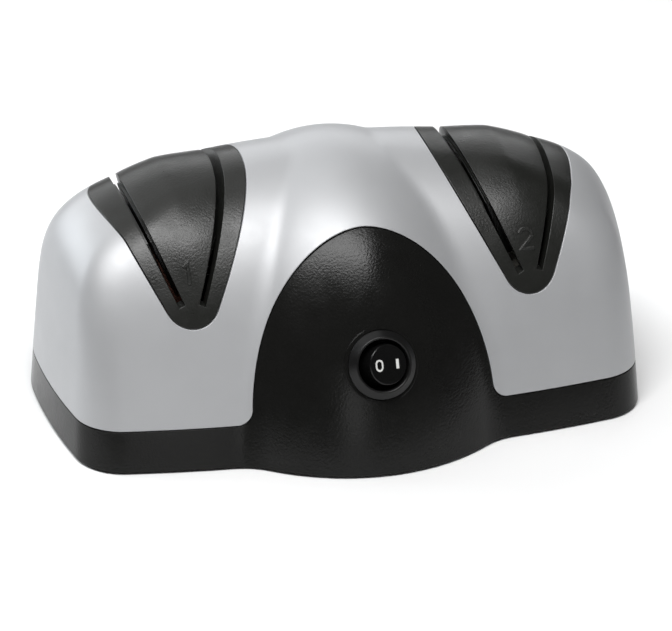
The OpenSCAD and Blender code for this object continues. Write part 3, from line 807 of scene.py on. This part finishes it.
@dataclass
class Shells:
    """The silver upper housing and the black base with its arched front panel."""

    form: BodyForm
    paint: Paintbox
    wall: float = 2.4
    gap: float = 0.35
    parting_z: float = 14.2
    base_z: float = 1.0
    floor_t: float = 2.2
    panel_half_w: float = 41.8
    panel_top_z: float = 73.2
    panel_n: float = 0.54
    panel_fillet: float = 6.0
    panel_foot_z: float = -12.0
    panel_step: float = 0.05
    panel_back: float = 24.0
    tool_front: float = 110.0
    tool_rear: float = 90.0
    tool_half_w: float = 120.0
    made: dict[str, Object] = field(default_factory=dict)

    def panel_outline(self) -> Outline:
        """Draws the arched front panel.

        Returns:
            Its outline, anticlockwise, with a small fillet where it runs out into the band.
        """
        fillet = self.panel_fillet
        foot = self.parting_z + fillet
        rise = self.panel_top_z - self.parting_z

        def half(z: float) -> float:
            """Half width of the panel at height z."""
            share = max(0.0, 1 - ((z - self.parting_z) / rise) ** 2)
            return self.panel_half_w * share ** self.panel_n

        heights = [foot + (self.panel_top_z - foot) * math.sin(math.radians(i)) for i in range(91)]
        run_out = arc((half(foot) + fillet, foot - self.panel_step), fillet, 270, 180, 16)
        right = [(run_out[0][0], self.panel_foot_z)] + run_out + [(half(z), z) for z in heights]
        left = [(-x, z) for x, z in reversed(right[:-1])]
        return right + left

    def solid(self, inset: float, name: str, level: int) -> Object:
        """The body's whole form at an inset, as one closed object."""
        return form_object(self.form, lambda p: self.form.body_share(p, inset), name, level)

    def build(self, guides: Sequence["GuideInsert"]) -> None:
        """Builds both shells.

        Args:
            guides: The two guide inserts, which leave openings in the housing.
        """
        crest = self.form.crest_y
        y0, y1, back = crest - self.tool_front, crest + self.tool_rear, crest - self.panel_back
        skin = self.solid(0.0, "skin", 7)
        core = self.solid(self.wall, "core", 6)

        housing = copy_of(skin, "housing_shell")
        halve(housing, self.parting_z + self.gap)
        openings = [prism(grown(g.placed_outline(), self.gap), y0, y1, "opening") for g in guides]
        panel = prism(grown(self.panel_outline(), self.gap), y0, back, "panel_cut")
        boolean(housing, [copy_of(core, "core_cut"), panel] + openings, "DIFFERENCE")
        finish_mesh(housing)
        self.made["upper_housing"] = housing

        base = copy_of(skin, "base_shell")
        band = prism(box(0, self.tool_half_w, self.base_z, self.parting_z), y0, y1, "band")
        front = prism(self.panel_outline(), y0, back, "front")
        boolean(band, [front], "UNION")
        halve(base, self.base_z)
        halve(core, self.base_z + self.floor_t)
        boolean(base, [band], "INTERSECT")
        boolean(base, [core], "DIFFERENCE")
        self.made["base_pan"] = base
        bpy.data.meshes.remove(skin.data)

    def pierce(self, tools: Sequence[Object], pads: Sequence[Object]) -> None:
        """Adds pads to the base, then cuts its holes.

        Args:
            tools: The cutters.
            pads: The pads, which thicken the base first.
        """
        base = self.made["base_pan"]
        boolean(base, pads, "UNION")
        boolean(base, tools, "DIFFERENCE")
        finish_mesh(base)

    def dress(self) -> None:
        """Coats both shells and puts them on the frame."""
        plan = (("upper_housing", SILVER_PAINT, "silver_shell"),
                ("base_pan", BLACK_PEBBLE, "black_shell"))
        for node, finish, slot in plan:
            self.paint.dress(self.made[node], finish, "frame", node, slot)


@dataclass
class GuideInsert:
    """A black insert that saddles over one wing, with two leaning knife slots and a keel.

    A slot is named by s, -1 for the left one and 1 for the right one.
    """

    form: BodyForm
    paint: Paintbox
    side: int
    inset: float = 45.0
    drop: float = 41.3
    tip_r: float = 9.5
    flare: float = 28.0
    sweep: float = 4.4
    sweep_drop: float = 17.8
    sweep_unit: float = 5.3
    sweep_end: float = 9.0
    sweep_n: float = 2.5
    sweep_step: float = 0.6
    sweep_steps: int = 15
    rise_past: float = 15.0
    keel_rise: float = 1.6
    climb_z: float = 50.0
    climb_h: float = 24.0
    crisp_z: float = 70.0
    crisp_h: float = 12.0
    ridge_soft: float = 0.004
    ridge_base: float = 1.002
    ridge_span: float = 0.94
    soft_n: float = 1.8
    thick: float = 4.0
    lean: float = 22.3
    toe: float = 1.7
    slot_off: float = 4.7
    slot_drop: float = 34.8
    slot_past: float = 12.0
    slot_half_l: float = 80.0
    slot_low: float = 2.2
    slot_high: float = 2.9
    plate_t: float = 1.4
    plate_lip: float = 1.1
    far_lip: float = 0.85
    low_lip: float = 0.65
    plate_foot: float = -2.0
    plate_drop: float = 0.5
    plate_reach: float = 27.0
    sheet_half_w: float = 31.0
    sheet_turn: float = 96.0
    ray: float = 110.0
    crop_reach: float = 90.0
    lining_in: float = 1.0
    number_drop: float = 25.5
    number_h: float = 7.4
    number_w: float = 1.1
    number_proud: float = 0.25
    number_root: float = 0.8
    number_probe: float = 3.0
    one_flag: tuple[float, float] = (1.5, 0.35)
    two_r: float = 2.1
    two_turn: tuple[float, float] = (165.0, -35.0)
    two_foot: float = 0.3
    obj: Object | None = None

    @property
    def middle(self) -> float:
        """Place of the insert's middle along X."""
        return self.side * (self.form.half_l - self.inset)

    @property
    def number(self) -> int:
        """The insert's number: 1 on the left wing and 2 on the right one."""
        return 1 if self.side < 0 else 2

    def placed_outline(self) -> Outline:
        """Draws the insert's outline, whose outer side sweeps outward near the crest.

        Returns:
            The outline in place, anticlockwise.
        """
        cz = self.form.wing_h - self.drop + self.tip_r
        a = math.radians(self.flare)
        side_x, side_z = self.tip_r * math.cos(a), cz - self.tip_r * math.sin(a)

        def edge(sweep: float) -> Outline:
            """Follows one side upward.

            Args:
                sweep: How far it sweeps outward.

            Returns:
                Its points, which end well above the crest.
            """
            rises = [i * self.sweep_step for i in range(self.sweep_steps + 1)]
            rises.append(self.sweep_drop + self.rise_past)
            heights = [self.form.wing_h - self.sweep_drop + r for r in rises]
            return [(side_x + (z - side_z) * math.tan(a)
                     + sweep * (min(r, self.sweep_end) / self.sweep_unit) ** self.sweep_n, z)
                    for r, z in zip(rises, heights)]

        right = edge(self.sweep if self.side > 0 else 0.0)
        left = [(-x, z) for x, z in reversed(edge(self.sweep if self.side < 0 else 0.0))]
        tip = arc((0, cz), self.tip_r, 180 + self.flare, 360 - self.flare, 40)
        return [(x + self.middle, z) for x, z in tip + right + left]

    def slot_move(self, s: int) -> Matrix:
        """Leans and turns a slot's own section.

        Args:
            s: The slot.

        Returns:
            The transform that puts the section in place.
        """
        foot = (self.middle + s * self.slot_off, self.form.crest_y,
                self.form.wing_h - self.slot_drop)
        return (Matrix.Translation(foot) @ Matrix.Rotation(math.radians(-s * self.toe), 4, "Z")
                @ Matrix.Rotation(math.radians(s * self.lean), 4, "Y"))

    def slot_cut(self, s: int) -> Object:
        """Makes the cutter of a knife slot, which is wider at its top.

        Args:
            s: The slot.

        Returns:
            The cutter.
        """
        high = self.slot_drop + self.slot_past
        low = self.slot_low / 2
        widening = (self.slot_high - self.slot_low) / 2 * self.slot_past / self.slot_drop
        top = self.slot_high / 2 + widening
        return prism([(-low, 0), (low, 0), (top, high), (-top, high)],
                     -self.slot_half_l, self.slot_half_l, "slot", self.slot_move(s))

    def lip(self, s: int, side: int) -> float:
        """Says how far a plate leans over its slot, so that no daylight shows through.

        Args:
            s: The slot.
            side: The plate's side of it, -1 or 1.

        Returns:
            The distance at the plate's top.
        """
        if side != s:
            return self.plate_lip
        return self.far_lip if s < 0 else 0.0

    def plates(self, s: int) -> list[Object]:
        """Builds the two thin plates under the skin, one on each side of a slot.

        Args:
            s: The slot.

        Returns:
            The plates.
        """
        out = []
        foot, up = self.plate_foot, self.slot_drop - self.plate_drop
        for side in (-1, 1):
            lip = self.lip(s, side)
            low = side * (self.slot_low / 2 - lip * self.low_lip)
            high = side * (self.slot_high / 2 - lip)
            t = side * (self.plate_t + lip)
            ring = [(low, foot), (low + t, foot), (high + t, up), (high, up)][::side]
            out.append(prism(ring, -self.plate_reach, self.plate_reach, "plate", self.slot_move(s)))
        return out

    def half_gap(self, z: np.ndarray) -> np.ndarray:
        """Distance from the insert's middle to a slot's middle, at height z."""
        up = z - (self.form.wing_h - self.slot_drop)
        return self.slot_off + up * math.tan(math.radians(self.lean))

    def raised(self, p: np.ndarray) -> np.ndarray:
        """Share function of a wing with a roof raised between the slots.

        Args:
            p: Points, one in each row.

        Returns:
            Each point's share; the roof is crisp at the crest and soft in front.
        """
        z = p[:, 2]
        u = np.abs(p[:, 0] - self.middle) / np.maximum(self.half_gap(z), 0.5)
        climb = np.clip((z - self.climb_z) / self.climb_h, 0, 1)
        crisp = np.clip((z - self.crisp_z) / self.crisp_h, 0, 1)
        tent = (self.ridge_base - np.sqrt(u * u + self.ridge_soft)) / self.ridge_span
        roof = crisp * tent + (1 - crisp) * (1 - u ** self.soft_n)
        q = p.copy()
        q[:, 2] = z - np.where(u < 1, self.keel_rise * climb ** 2 * (3 - 2 * climb) * roof, 0)
        return self.form.wing_share(q)

    def sheet(self, across: int = 110, along: int = 260, pivot_z: float = 42.0) -> Object:
        """The insert's skin with its full thickness, wider than the insert.

        Args:
            across: Faces across the insert.
            along: Faces over its arch.
            pivot_z: Height of the line that the rays leave from.

        Returns:
            A closed object.
        """
        bm = bmesh.new()
        bmesh.ops.create_grid(bm, x_segments=across, y_segments=along, size=1.0)
        grid = np.array([v.co[:] for v in bm.verts])
        crest = self.form.crest_y

        def rays(x: np.ndarray, turn: np.ndarray) -> tuple[np.ndarray, np.ndarray]:
            """Start and direction of each ray."""
            start = np.stack([x, np.full_like(x, crest), np.full_like(x, pivot_z)], 1)
            return start, np.stack([np.zeros_like(x), np.sin(turn), np.cos(turn)], 1)

        outward = rays(self.middle + grid[:, 0] * self.sheet_half_w,
                       np.radians(grid[:, 1] * self.sheet_turn))
        place_points(bm.verts, self.form.reach(self.raised, *outward, self.ray))
        made = bmesh.ops.extrude_face_region(bm, geom=bm.faces[:])
        under = [g for g in made["geom"] if isinstance(g, BMVert)]
        at = np.array([v.co[:] for v in under])
        outward = rays(at[:, 0], np.arctan2(at[:, 1] - crest, at[:, 2] - pivot_z))
        place_points(under, self.form.reach(lambda p: self.form.wing_share(p, self.thick),
                                            *outward, self.ray))
        return to_object(bm, f"guide_insert_shell_{self.number}")

    def figure(self) -> Object:
        """Makes the moulded figure that stands proud of the roof's face.

        Returns:
            The figure 1 or 2, with a root to join it by.
        """
        z, y0, probe = self.form.wing_h - self.number_drop, self.form.crest_y, self.number_probe

        def face_y(at: float) -> float:
            """Place of the roof's face on the insert's middle line."""
            start, way = np.array([[self.middle, y0, at]]), np.array([[0.0, -1.0, 0.0]])
            return float(self.form.reach(self.raised, start, way, self.ray)[0, 1])

        lean = math.atan2(face_y(z + probe) - face_y(z - probe), 2 * probe)
        h, w = self.number_h, self.number_w
        if self.side < 0:
            flag, cap = self.one_flag
            path = [(-flag, h / 2 - flag), (0.0, h / 2 - cap), (0.0, -h / 2)]
        else:
            r, foot = self.two_r, -h / 2 + w / 2
            path = arc((0, h / 2 - r), r, *self.two_turn, 16) + [(-r, foot),
                                                                 (r + self.two_foot, foot)]
        bm = bmesh.new()
        rim = [bm.verts.new((x, y, -self.number_root)) for x, y in stroke(path, w)]
        face = bm.faces.new(rim)
        bmesh.ops.extrude_face_region(bm, geom=[face])
        for v in bm.verts[len(bm.verts) // 2:]:
            v.co.z = self.number_proud
        move = (Matrix.Translation((self.middle, face_y(z), z))
                @ Matrix.Rotation(math.pi / 2 - lean, 4, "X"))
        bmesh.ops.transform(bm, matrix=move, verts=bm.verts)
        return to_object(bm, "figure")

    def build(self) -> None:
        """Builds the insert."""
        y0, y1 = self.form.crest_y - self.crop_reach, self.form.crest_y + self.crop_reach
        self.obj = self.sheet()
        boolean(self.obj, [prism(self.placed_outline(), y0, y1, "crop")], "INTERSECT")
        boolean(self.obj, [self.slot_cut(s) for s in (-1, 1)], "DIFFERENCE")
        depth = self.thick - self.lining_in
        lining = form_object(self.form, lambda p: self.form.wing_share(p, depth), "lining", 6)
        for plate in (p for s in (-1, 1) for p in self.plates(s)):
            boolean(plate, [copy_of(lining, "lining_part")], "INTERSECT")
            boolean(self.obj, [plate], "UNION")
        bpy.data.meshes.remove(lining.data)
        boolean(self.obj, [self.figure()], "UNION")
        finish_mesh(self.obj)

    def dress(self) -> None:
        """Coats the insert and puts it on the frame."""
        node = f"guide_insert_{self.number}"
        self.paint.dress(self.obj, GUIDE_SATIN, "frame", node, "guide_plastic")


@dataclass
class RockerSwitch:
    """Round rocker switch: a raised rim, a tipping button and its two marks."""

    form: BodyForm
    paint: Paintbox
    z: float = 36.2
    rim_d: float = 23.1
    barrel_d: float = 20.0
    rim_h: float = 3.0
    opening_d: float = 17.1
    depth: float = 17.0
    throw: float = 12.0
    gap: float = 0.3
    seat_z: float = -0.7
    cut_z: float = 8.0
    pad_z: float = -3.4
    pad_w: float = 1.2
    seat_gap: float = 0.2
    barrel_gap: float = 0.1
    barrel_reach: float = 30.0
    well_z: float = -12.0
    shoulder_r: float = 0.35
    shoulder_z: float = 0.25
    lip_r: float = 0.5
    lip_in: float = 0.62
    lip_drop: float = 0.9
    rim_taper: float = 0.05
    steps: int = 128
    pivot_depth: float = -4.6
    face: float = 2.4
    dish: float = 6.0
    edge_r: float = 0.45
    keel: float = 2.6
    mark_x: float = 3.4
    mark_t: float = 0.1
    mark_lift: float = 0.07
    ring: tuple[float, float] = (3.0, 4.0)
    ring_hole: tuple[float, float] = (1.8, 2.8)
    bar: tuple[float, float] = (0.5, 1.6)
    made: dict[str, Object] = field(default_factory=dict)

    @property
    def rise(self) -> float:
        """Works out how far the panel's normal points up.

        Returns:
            The angle, in degrees.
        """
        f = self.form
        y = f.centre_front_y(self.z)
        flat = 1 - (f.dome_drop / (f.dome_h + f.dome_drop)) ** 2
        up = (self.z + f.dome_drop) / (f.dome_h + f.dome_drop) ** 2
        return math.degrees(math.atan2(up, (f.crest_y - y) * flat / f.centre_front ** 2))

    def place(self) -> Matrix:
        """Transform from the switch's own axes: +Z points out of the panel and +Y up along it."""
        return (Matrix.Translation((0, self.form.centre_front_y(self.z), self.z))
                @ Matrix.Rotation(math.radians(90 - self.rise), 4, "X"))

    def tip(self) -> Matrix:
        """Tips the rocker to its place at rest, with its right half pressed in.

        Returns:
            The transform, in the switch's own axes.
        """
        return (Matrix.Translation((0, 0, self.pivot_depth))
                @ Matrix.Rotation(math.radians(self.throw), 4, "Y")
                @ Matrix.Translation((0, 0, -self.pivot_depth)))

    def base_tools(self) -> tuple[list[Object], list[Object]]:
        """Makes what the base's panel needs round the switch.

        Returns:
            The cutters, and the pads that come before them.
        """
        place, rim, barrel = self.place(), self.rim_d / 2, self.barrel_d / 2
        cuts = [plug(rim + self.seat_gap, self.seat_z, self.cut_z, "seat_cut", place),
                plug(barrel + self.barrel_gap, -self.barrel_reach, self.cut_z, "barrel_cut", place)]
        return cuts, [plug(rim + self.pad_w, self.pad_z, self.seat_z, "pad", place)]

    def build(self) -> None:
        """Builds rim, rocker and marks."""
        hole, rim = self.opening_d / 2, self.rim_d / 2
        barrel, bend = self.barrel_d / 2 - self.barrel_gap, self.shoulder_r
        shoulder = arc((rim - bend, self.shoulder_z), bend, 0, 55, 5)
        lip = arc((hole + self.lip_in, self.rim_h - self.lip_r), self.lip_r, 35, 165, 10)
        outside = [(0, -self.depth), (barrel, -self.depth), (barrel, self.seat_z),
                   (rim - self.rim_taper, self.seat_z)]
        well = [(hole, self.rim_h - self.lip_drop), (hole, self.well_z), (0, self.well_z)]
        self.made["switch_body"] = lathe(outside + shoulder + lip + well, "switch_rim",
                                         self.place(), self.steps)
        self.made["switch_rocker"] = self._rocker()
        self.made["switch_marks"] = self._marks()

    def _rocker(self) -> Object:
        """Makes the button, which narrows outward so that it can tip in its hole.

        Returns:
            The button, tipped and in place, with a shallow V across its face.
        """
        turn = math.radians(self.throw)
        sin, cos, slope = math.sin(turn), math.cos(turn), math.tan(math.radians(self.dish))
        room = self.opening_d / 2 - self.gap
        face_h = self.face - self.pivot_depth
        top_r = (room - face_h * sin) / (cos + slope * sin)
        low_r = (room - self.keel * sin) / cos
        low = self.pivot_depth - self.keel
        edge = self.face + low_r * slope
        body = lathe([(0, low), (low_r, low), (top_r, edge), (0, edge)], "rocker_button",
                     Matrix.Identity(4), self.steps)
        r = low_r + 1
        rim_z = self.face + r * slope
        roof = prism([(-r, rim_z), (0, self.face), (r, rim_z), (r, edge + 4), (-r, edge + 4)],
                     -r, r, "roof")
        boolean(body, [roof], "DIFFERENCE")
        bm = bmesh.new()
        bm.from_mesh(body.data)
        bmesh.ops.remove_doubles(bm, verts=bm.verts, dist=1e-6)
        bmesh.ops.dissolve_limit(bm, angle_limit=math.radians(1.0), verts=bm.verts, edges=bm.edges)
        sharp = [e for e in bm.edges
                 if len(e.link_faces) == 2 and e.calc_face_angle(0) > math.radians(30)
                 and min(v.co.z for v in e.verts) > (self.face - 2) * MM]
        bmesh.ops.bevel(bm, geom=sharp, offset=self.edge_r * MM, offset_type="OFFSET",
                        segments=4, profile=0.5, affect="EDGES", material=-1,
                        clamp_overlap=True)
        move = self.place() @ self.tip()
        move.translation *= MM
        bmesh.ops.transform(bm, matrix=move, verts=bm.verts)
        bm.to_mesh(body.data)
        bm.free()
        return body

    def _marks(self) -> Object:
        """Makes the white ring on the left half and the white bar on the right half.

        Returns:
            Both marks as one object, tipped with the rocker.
        """
        bm = bmesh.new()
        for s in (-1, 1):
            part = bmesh.new()
            if s < 0:
                loops = self._stadium(part, *self.ring) + self._stadium(part, *self.ring_hole)
                bmesh.ops.bridge_loops(part, edges=loops)
            else:
                corners = box(0, self.bar[0], -self.bar[1], self.bar[1])
                part.faces.new([part.verts.new((x, y, 0)) for x, y in corners])
            bmesh.ops.solidify(part, geom=part.faces[:], thickness=self.mark_t)
            lean = (Matrix.Translation((0, 0, self.face + self.mark_lift))
                    @ Matrix.Rotation(math.radians(-s * self.dish), 4, "Y")
                    @ Matrix.Translation((s * self.mark_x, 0, 0)))
            bmesh.ops.transform(part, matrix=self.place() @ self.tip() @ lean, verts=part.verts)
            mesh = bpy.data.meshes.new("part")
            part.to_mesh(mesh)
            part.free()
            bm.from_mesh(mesh)
            bpy.data.meshes.remove(mesh)
        return to_object(bm, "rocker_marks")

    @staticmethod
    def _stadium(bm: BMesh, w: float, h: float) -> list[BMEdge]:
        """Adds a long ring of edges.

        Args:
            bm: The bmesh that gets it.
            w: Its width.
            h: Its height.

        Returns:
            Its edges.
        """
        verts = bmesh.ops.create_circle(bm, cap_ends=False, segments=48, radius=w / 2)["verts"]
        for v in verts:
            v.co.y += math.copysign((h - w) / 2, v.co.y)
        return list({e for v in verts for e in v.link_edges})

    def dress(self) -> None:
        """Coats the switch's pieces and puts them on the frame."""
        plan = (("switch_body", "frame", SWITCH_SATIN, "switch_plastic"),
                ("switch_rocker", "rocker", ROCKER_GLOSS, "rocker_plastic"),
                ("switch_marks", "rocker", MARK_WHITE, "mark_white"))
        for node, body, finish, slot in plan:
            finish_mesh(self.made[node], 30.0, 1e-6)
            self.paint.dress(self.made[node], finish, body, node, slot)


@dataclass
class Underside:
    """Holes in the base: feet, screws, vents and the cord inlet."""

    form: BodyForm
    foot_d: float = 16.0
    foot_in: float = 26.0
    foot_front: float = -34.0
    foot_rear: float = 28.0
    foot_seat: float = 2.2
    head_d: float = 6.2
    head_seat: float = 5.0
    head_gap: float = 0.8
    screw_in: float = 17.0
    screw_off: float = 14.0
    rear_screw_x: float = 24.0
    rear_screw_in: float = 18.0
    vents: int = 7
    vent_pitch: float = 9.0
    vent_w: float = 3.0
    vent_front: float = -52.0
    vent_rear: float = -30.0
    inlet_d: float = 8.0
    inlet_z: float = 8.2
    inlet_reach: float = 9.0
    inlet_gap: float = 0.1

    def tools(self) -> list[Object]:
        """Makes the cutters of every hole in the base.

        Returns:
            The cutters.
        """
        f, y = self.form, self.form.crest_y
        foot_x, foot_r = f.half_l - self.foot_in, self.foot_d / 2
        out = [self._bar(x * foot_x, y + depth, foot_r, self.foot_seat)
               for x in (-1, 1) for depth in (self.foot_front, self.foot_rear)]
        spots = [(x * (f.half_l - self.screw_in), y + s * self.screw_off)
                 for x in (-1, 1) for s in (-1, 1)]
        spots += [(x * self.rear_screw_x, y + f.centre_rear - self.rear_screw_in) for x in (-1, 1)]
        head_r = (self.head_d + self.head_gap) / 2
        out += [self._bar(*spot, head_r, self.head_seat) for spot in spots]
        for i in range(self.vents):
            x = (i - (self.vents - 1) / 2) * self.vent_pitch
            out.append(prism(box(x, self.vent_w / 2, -1, 10), y + self.vent_front,
                             y + self.vent_rear, "vent"))
        move = (Matrix.Translation((0, f.centre_rear_y(self.inlet_z), self.inlet_z))
                @ Matrix.Rotation(math.pi / 2, 4, "X"))
        out.append(plug(self.inlet_d / 2 + self.inlet_gap, -self.inlet_reach, self.inlet_reach,
                        "inlet_cut", move))
        return out

    @staticmethod
    def _bar(x: float, y: float, r: float, top: float) -> Object:
        """An upright round cutter from below the base to a height."""
        return plug(r, -2, top, "hole", Matrix.Translation((x, y, 0)), 48)


@dataclass
class Works:
    """Every piece that keeps its CAD solid and gets its finish here."""

    paint: Paintbox
    finishes: dict[str, Finish] = field(default_factory=lambda: {
        "switch_terminals": BRASS_TAB, "cord_inlet": BLACK_RUBBER, "feet": BLACK_RUBBER,
        "case_screws": SCREW_STEEL, "motor_stack": STACK_STEEL, "shading_rings": WOUND_COPPER,
        "coil_bobbin": BOBBIN_NYLON, "coil": WOUND_COPPER, "bracket_1": CAST_ALLOY,
        "bracket_2": CAST_ALLOY, "bearing_1": SINTERED_BRONZE, "bearing_2": SINTERED_BRONZE,
        "motor_bolts": SCREW_STEEL, "motor_grommets": BLACK_RUBBER, "mount_screws": SCREW_STEEL,
        "motor_shaft": GROUND_STEEL, "rotor_core": STACK_STEEL, "rotor_cage": CAST_ALLOY,
        "cooling_fan": FAN_BLUE, "wheel_hub_1": HUB_BLACK, "wheel_hub_2": HUB_BLACK,
        "grinding_wheel_1": COARSE_GRIT, "grinding_wheel_2": FINE_GRIT,
        "wheel_washers": SCREW_STEEL, "wheel_nuts": SCREW_STEEL})

    def dress(self, nodes: dict[str, Object], record: dict) -> None:
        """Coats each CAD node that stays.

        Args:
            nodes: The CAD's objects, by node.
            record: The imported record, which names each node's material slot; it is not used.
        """
        for name, finish in self.finishes.items():
            self.paint.coat(nodes[name], finish)
            log.info("%s: kept from the CAD", name)


# ------------------------------------------------------------------------------ studio


@dataclass(frozen=True)
class Softbox:
    """A soft rectangular light, in metres and watts."""

    name: str
    place: tuple[float, float, float]
    size: tuple[float, float]
    power: float
    target: tuple[float, float, float] = (0.0, 0.0, 0.05)
    colour: tuple[float, float, float] = (1.0, 1.0, 1.0)

    def build(self) -> None:
        """Adds the light, aimed at its target."""
        data = bpy.data.lights.new(self.name, "AREA")
        data.shape = "RECTANGLE"
        data.size, data.size_y = self.size
        data.energy = self.power
        data.color = self.colour
        obj = bpy.data.objects.new(self.name, data)
        obj.location = self.place
        aim = Vector(self.target) - Vector(self.place)
        obj.rotation_euler = aim.to_track_quat("-Z", "Y").to_euler()
        bpy.context.scene.collection.objects.link(obj)


@dataclass
class Studio:
    """Pale floor, soft lights and the camera, whose place and axes fit the photograph."""

    paint: Paintbox
    crest_y: float
    ambient: float = 0.07
    clip: tuple[float, float] = (0.05, 20.0)
    floor_half: float = 6.0
    sensor_mm: float = 36.0
    focal_px: float = 4283.3
    photo_w_px: int = 672
    eye: tuple[float, float, float] = (-0.35656, -1.27004, 0.71287)
    axes: tuple[tuple[float, float, float], ...] = (
        (0.96495, -0.26151, 0.02204), (0.10298, 0.45454, 0.88475), (-0.24139, -0.85147, 0.46554))
    boxes: tuple[Softbox, ...] = (
        Softbox("key_top_front", (-0.14, -0.40, 1.02), (0.90, 0.34), 11.0),
        Softbox("overhead", (-0.30, 0.05, 1.35), (2.0, 1.3), 7.0),
        Softbox("rear_low", (0.05, 1.00, 0.60), (1.6, 0.5), 5.0, colour=(0.98, 0.99, 1.0)),
        Softbox("left_rear", (-0.80, 0.60, 0.50), (0.6, 0.6), 5.0, (-0.1, 0.0, 0.04),
                (0.93, 0.97, 1.0)),
        Softbox("front_fill", (-0.10, -1.25, 0.25), (0.30, 0.35), 0.6, (-0.05, 0.0, 0.04)),
    )

    def build(self) -> None:
        """Builds the floor, the lights and the camera."""
        self._floor()
        for light in self.boxes:
            light.build()
        world = bpy.data.worlds.new("studio")
        world.use_nodes = True
        back = world.node_tree.nodes["Background"]
        back.inputs["Color"].default_value = (1.0, 1.0, 1.0, 1.0)
        back.inputs["Strength"].default_value = self.ambient
        bpy.context.scene.world = world
        bpy.context.scene.view_settings.view_transform = "Standard"
        self._camera()

    def _floor(self) -> None:
        """A wide pale floor."""
        bm = bmesh.new()
        bmesh.ops.create_grid(bm, x_segments=1, y_segments=1, size=self.floor_half / MM)
        floor = to_object(bm, "floor")
        self.paint.coat(floor, PALE_FLOOR)

    def _camera(self) -> None:
        """The camera at the photograph's place, turned by its fitted axes."""
        data = bpy.data.cameras.new("camera")
        data.sensor_width = self.sensor_mm
        data.lens = self.focal_px / self.photo_w_px * self.sensor_mm
        data.clip_start, data.clip_end = self.clip
        cam = bpy.data.objects.new("camera", data)
        x, y, z = self.eye
        cam.matrix_world = (Matrix.Translation((x, y + self.crest_y * MM, z))
                            @ Matrix(self.axes).transposed().to_4x4())
        bpy.context.scene.collection.objects.link(cam)
        bpy.context.scene.camera = cam


def main(scene_frame: dict) -> None:
    """Builds every piece in order.

    Args:
        scene_frame: The loaded CAD frame.
    """
    logging.basicConfig(level=logging.INFO, format="%(message)s")
    for name in ("Cube", "Light", "Camera"):
        if name in bpy.data.objects:
            bpy.data.objects.remove(bpy.data.objects[name])
    form, paint = BodyForm(), Paintbox()
    Studio(paint, form.crest_y).build()
    inserts = [GuideInsert(form, paint, side) for side in (-1, 1)]
    switch = RockerSwitch(form, paint)
    shells = Shells(form, paint)
    shells.build(inserts)
    cuts, pads = switch.base_tools()
    shells.pierce(cuts + Underside(form).tools(), pads)
    shells.dress()
    for insert in inserts:
        insert.build()
        insert.dress()
    switch.build()
    switch.dress()
    Works(paint).dress(scene_frame["nodes"], scene_frame["record"])


if __name__ == "__main__":
    main(frame)
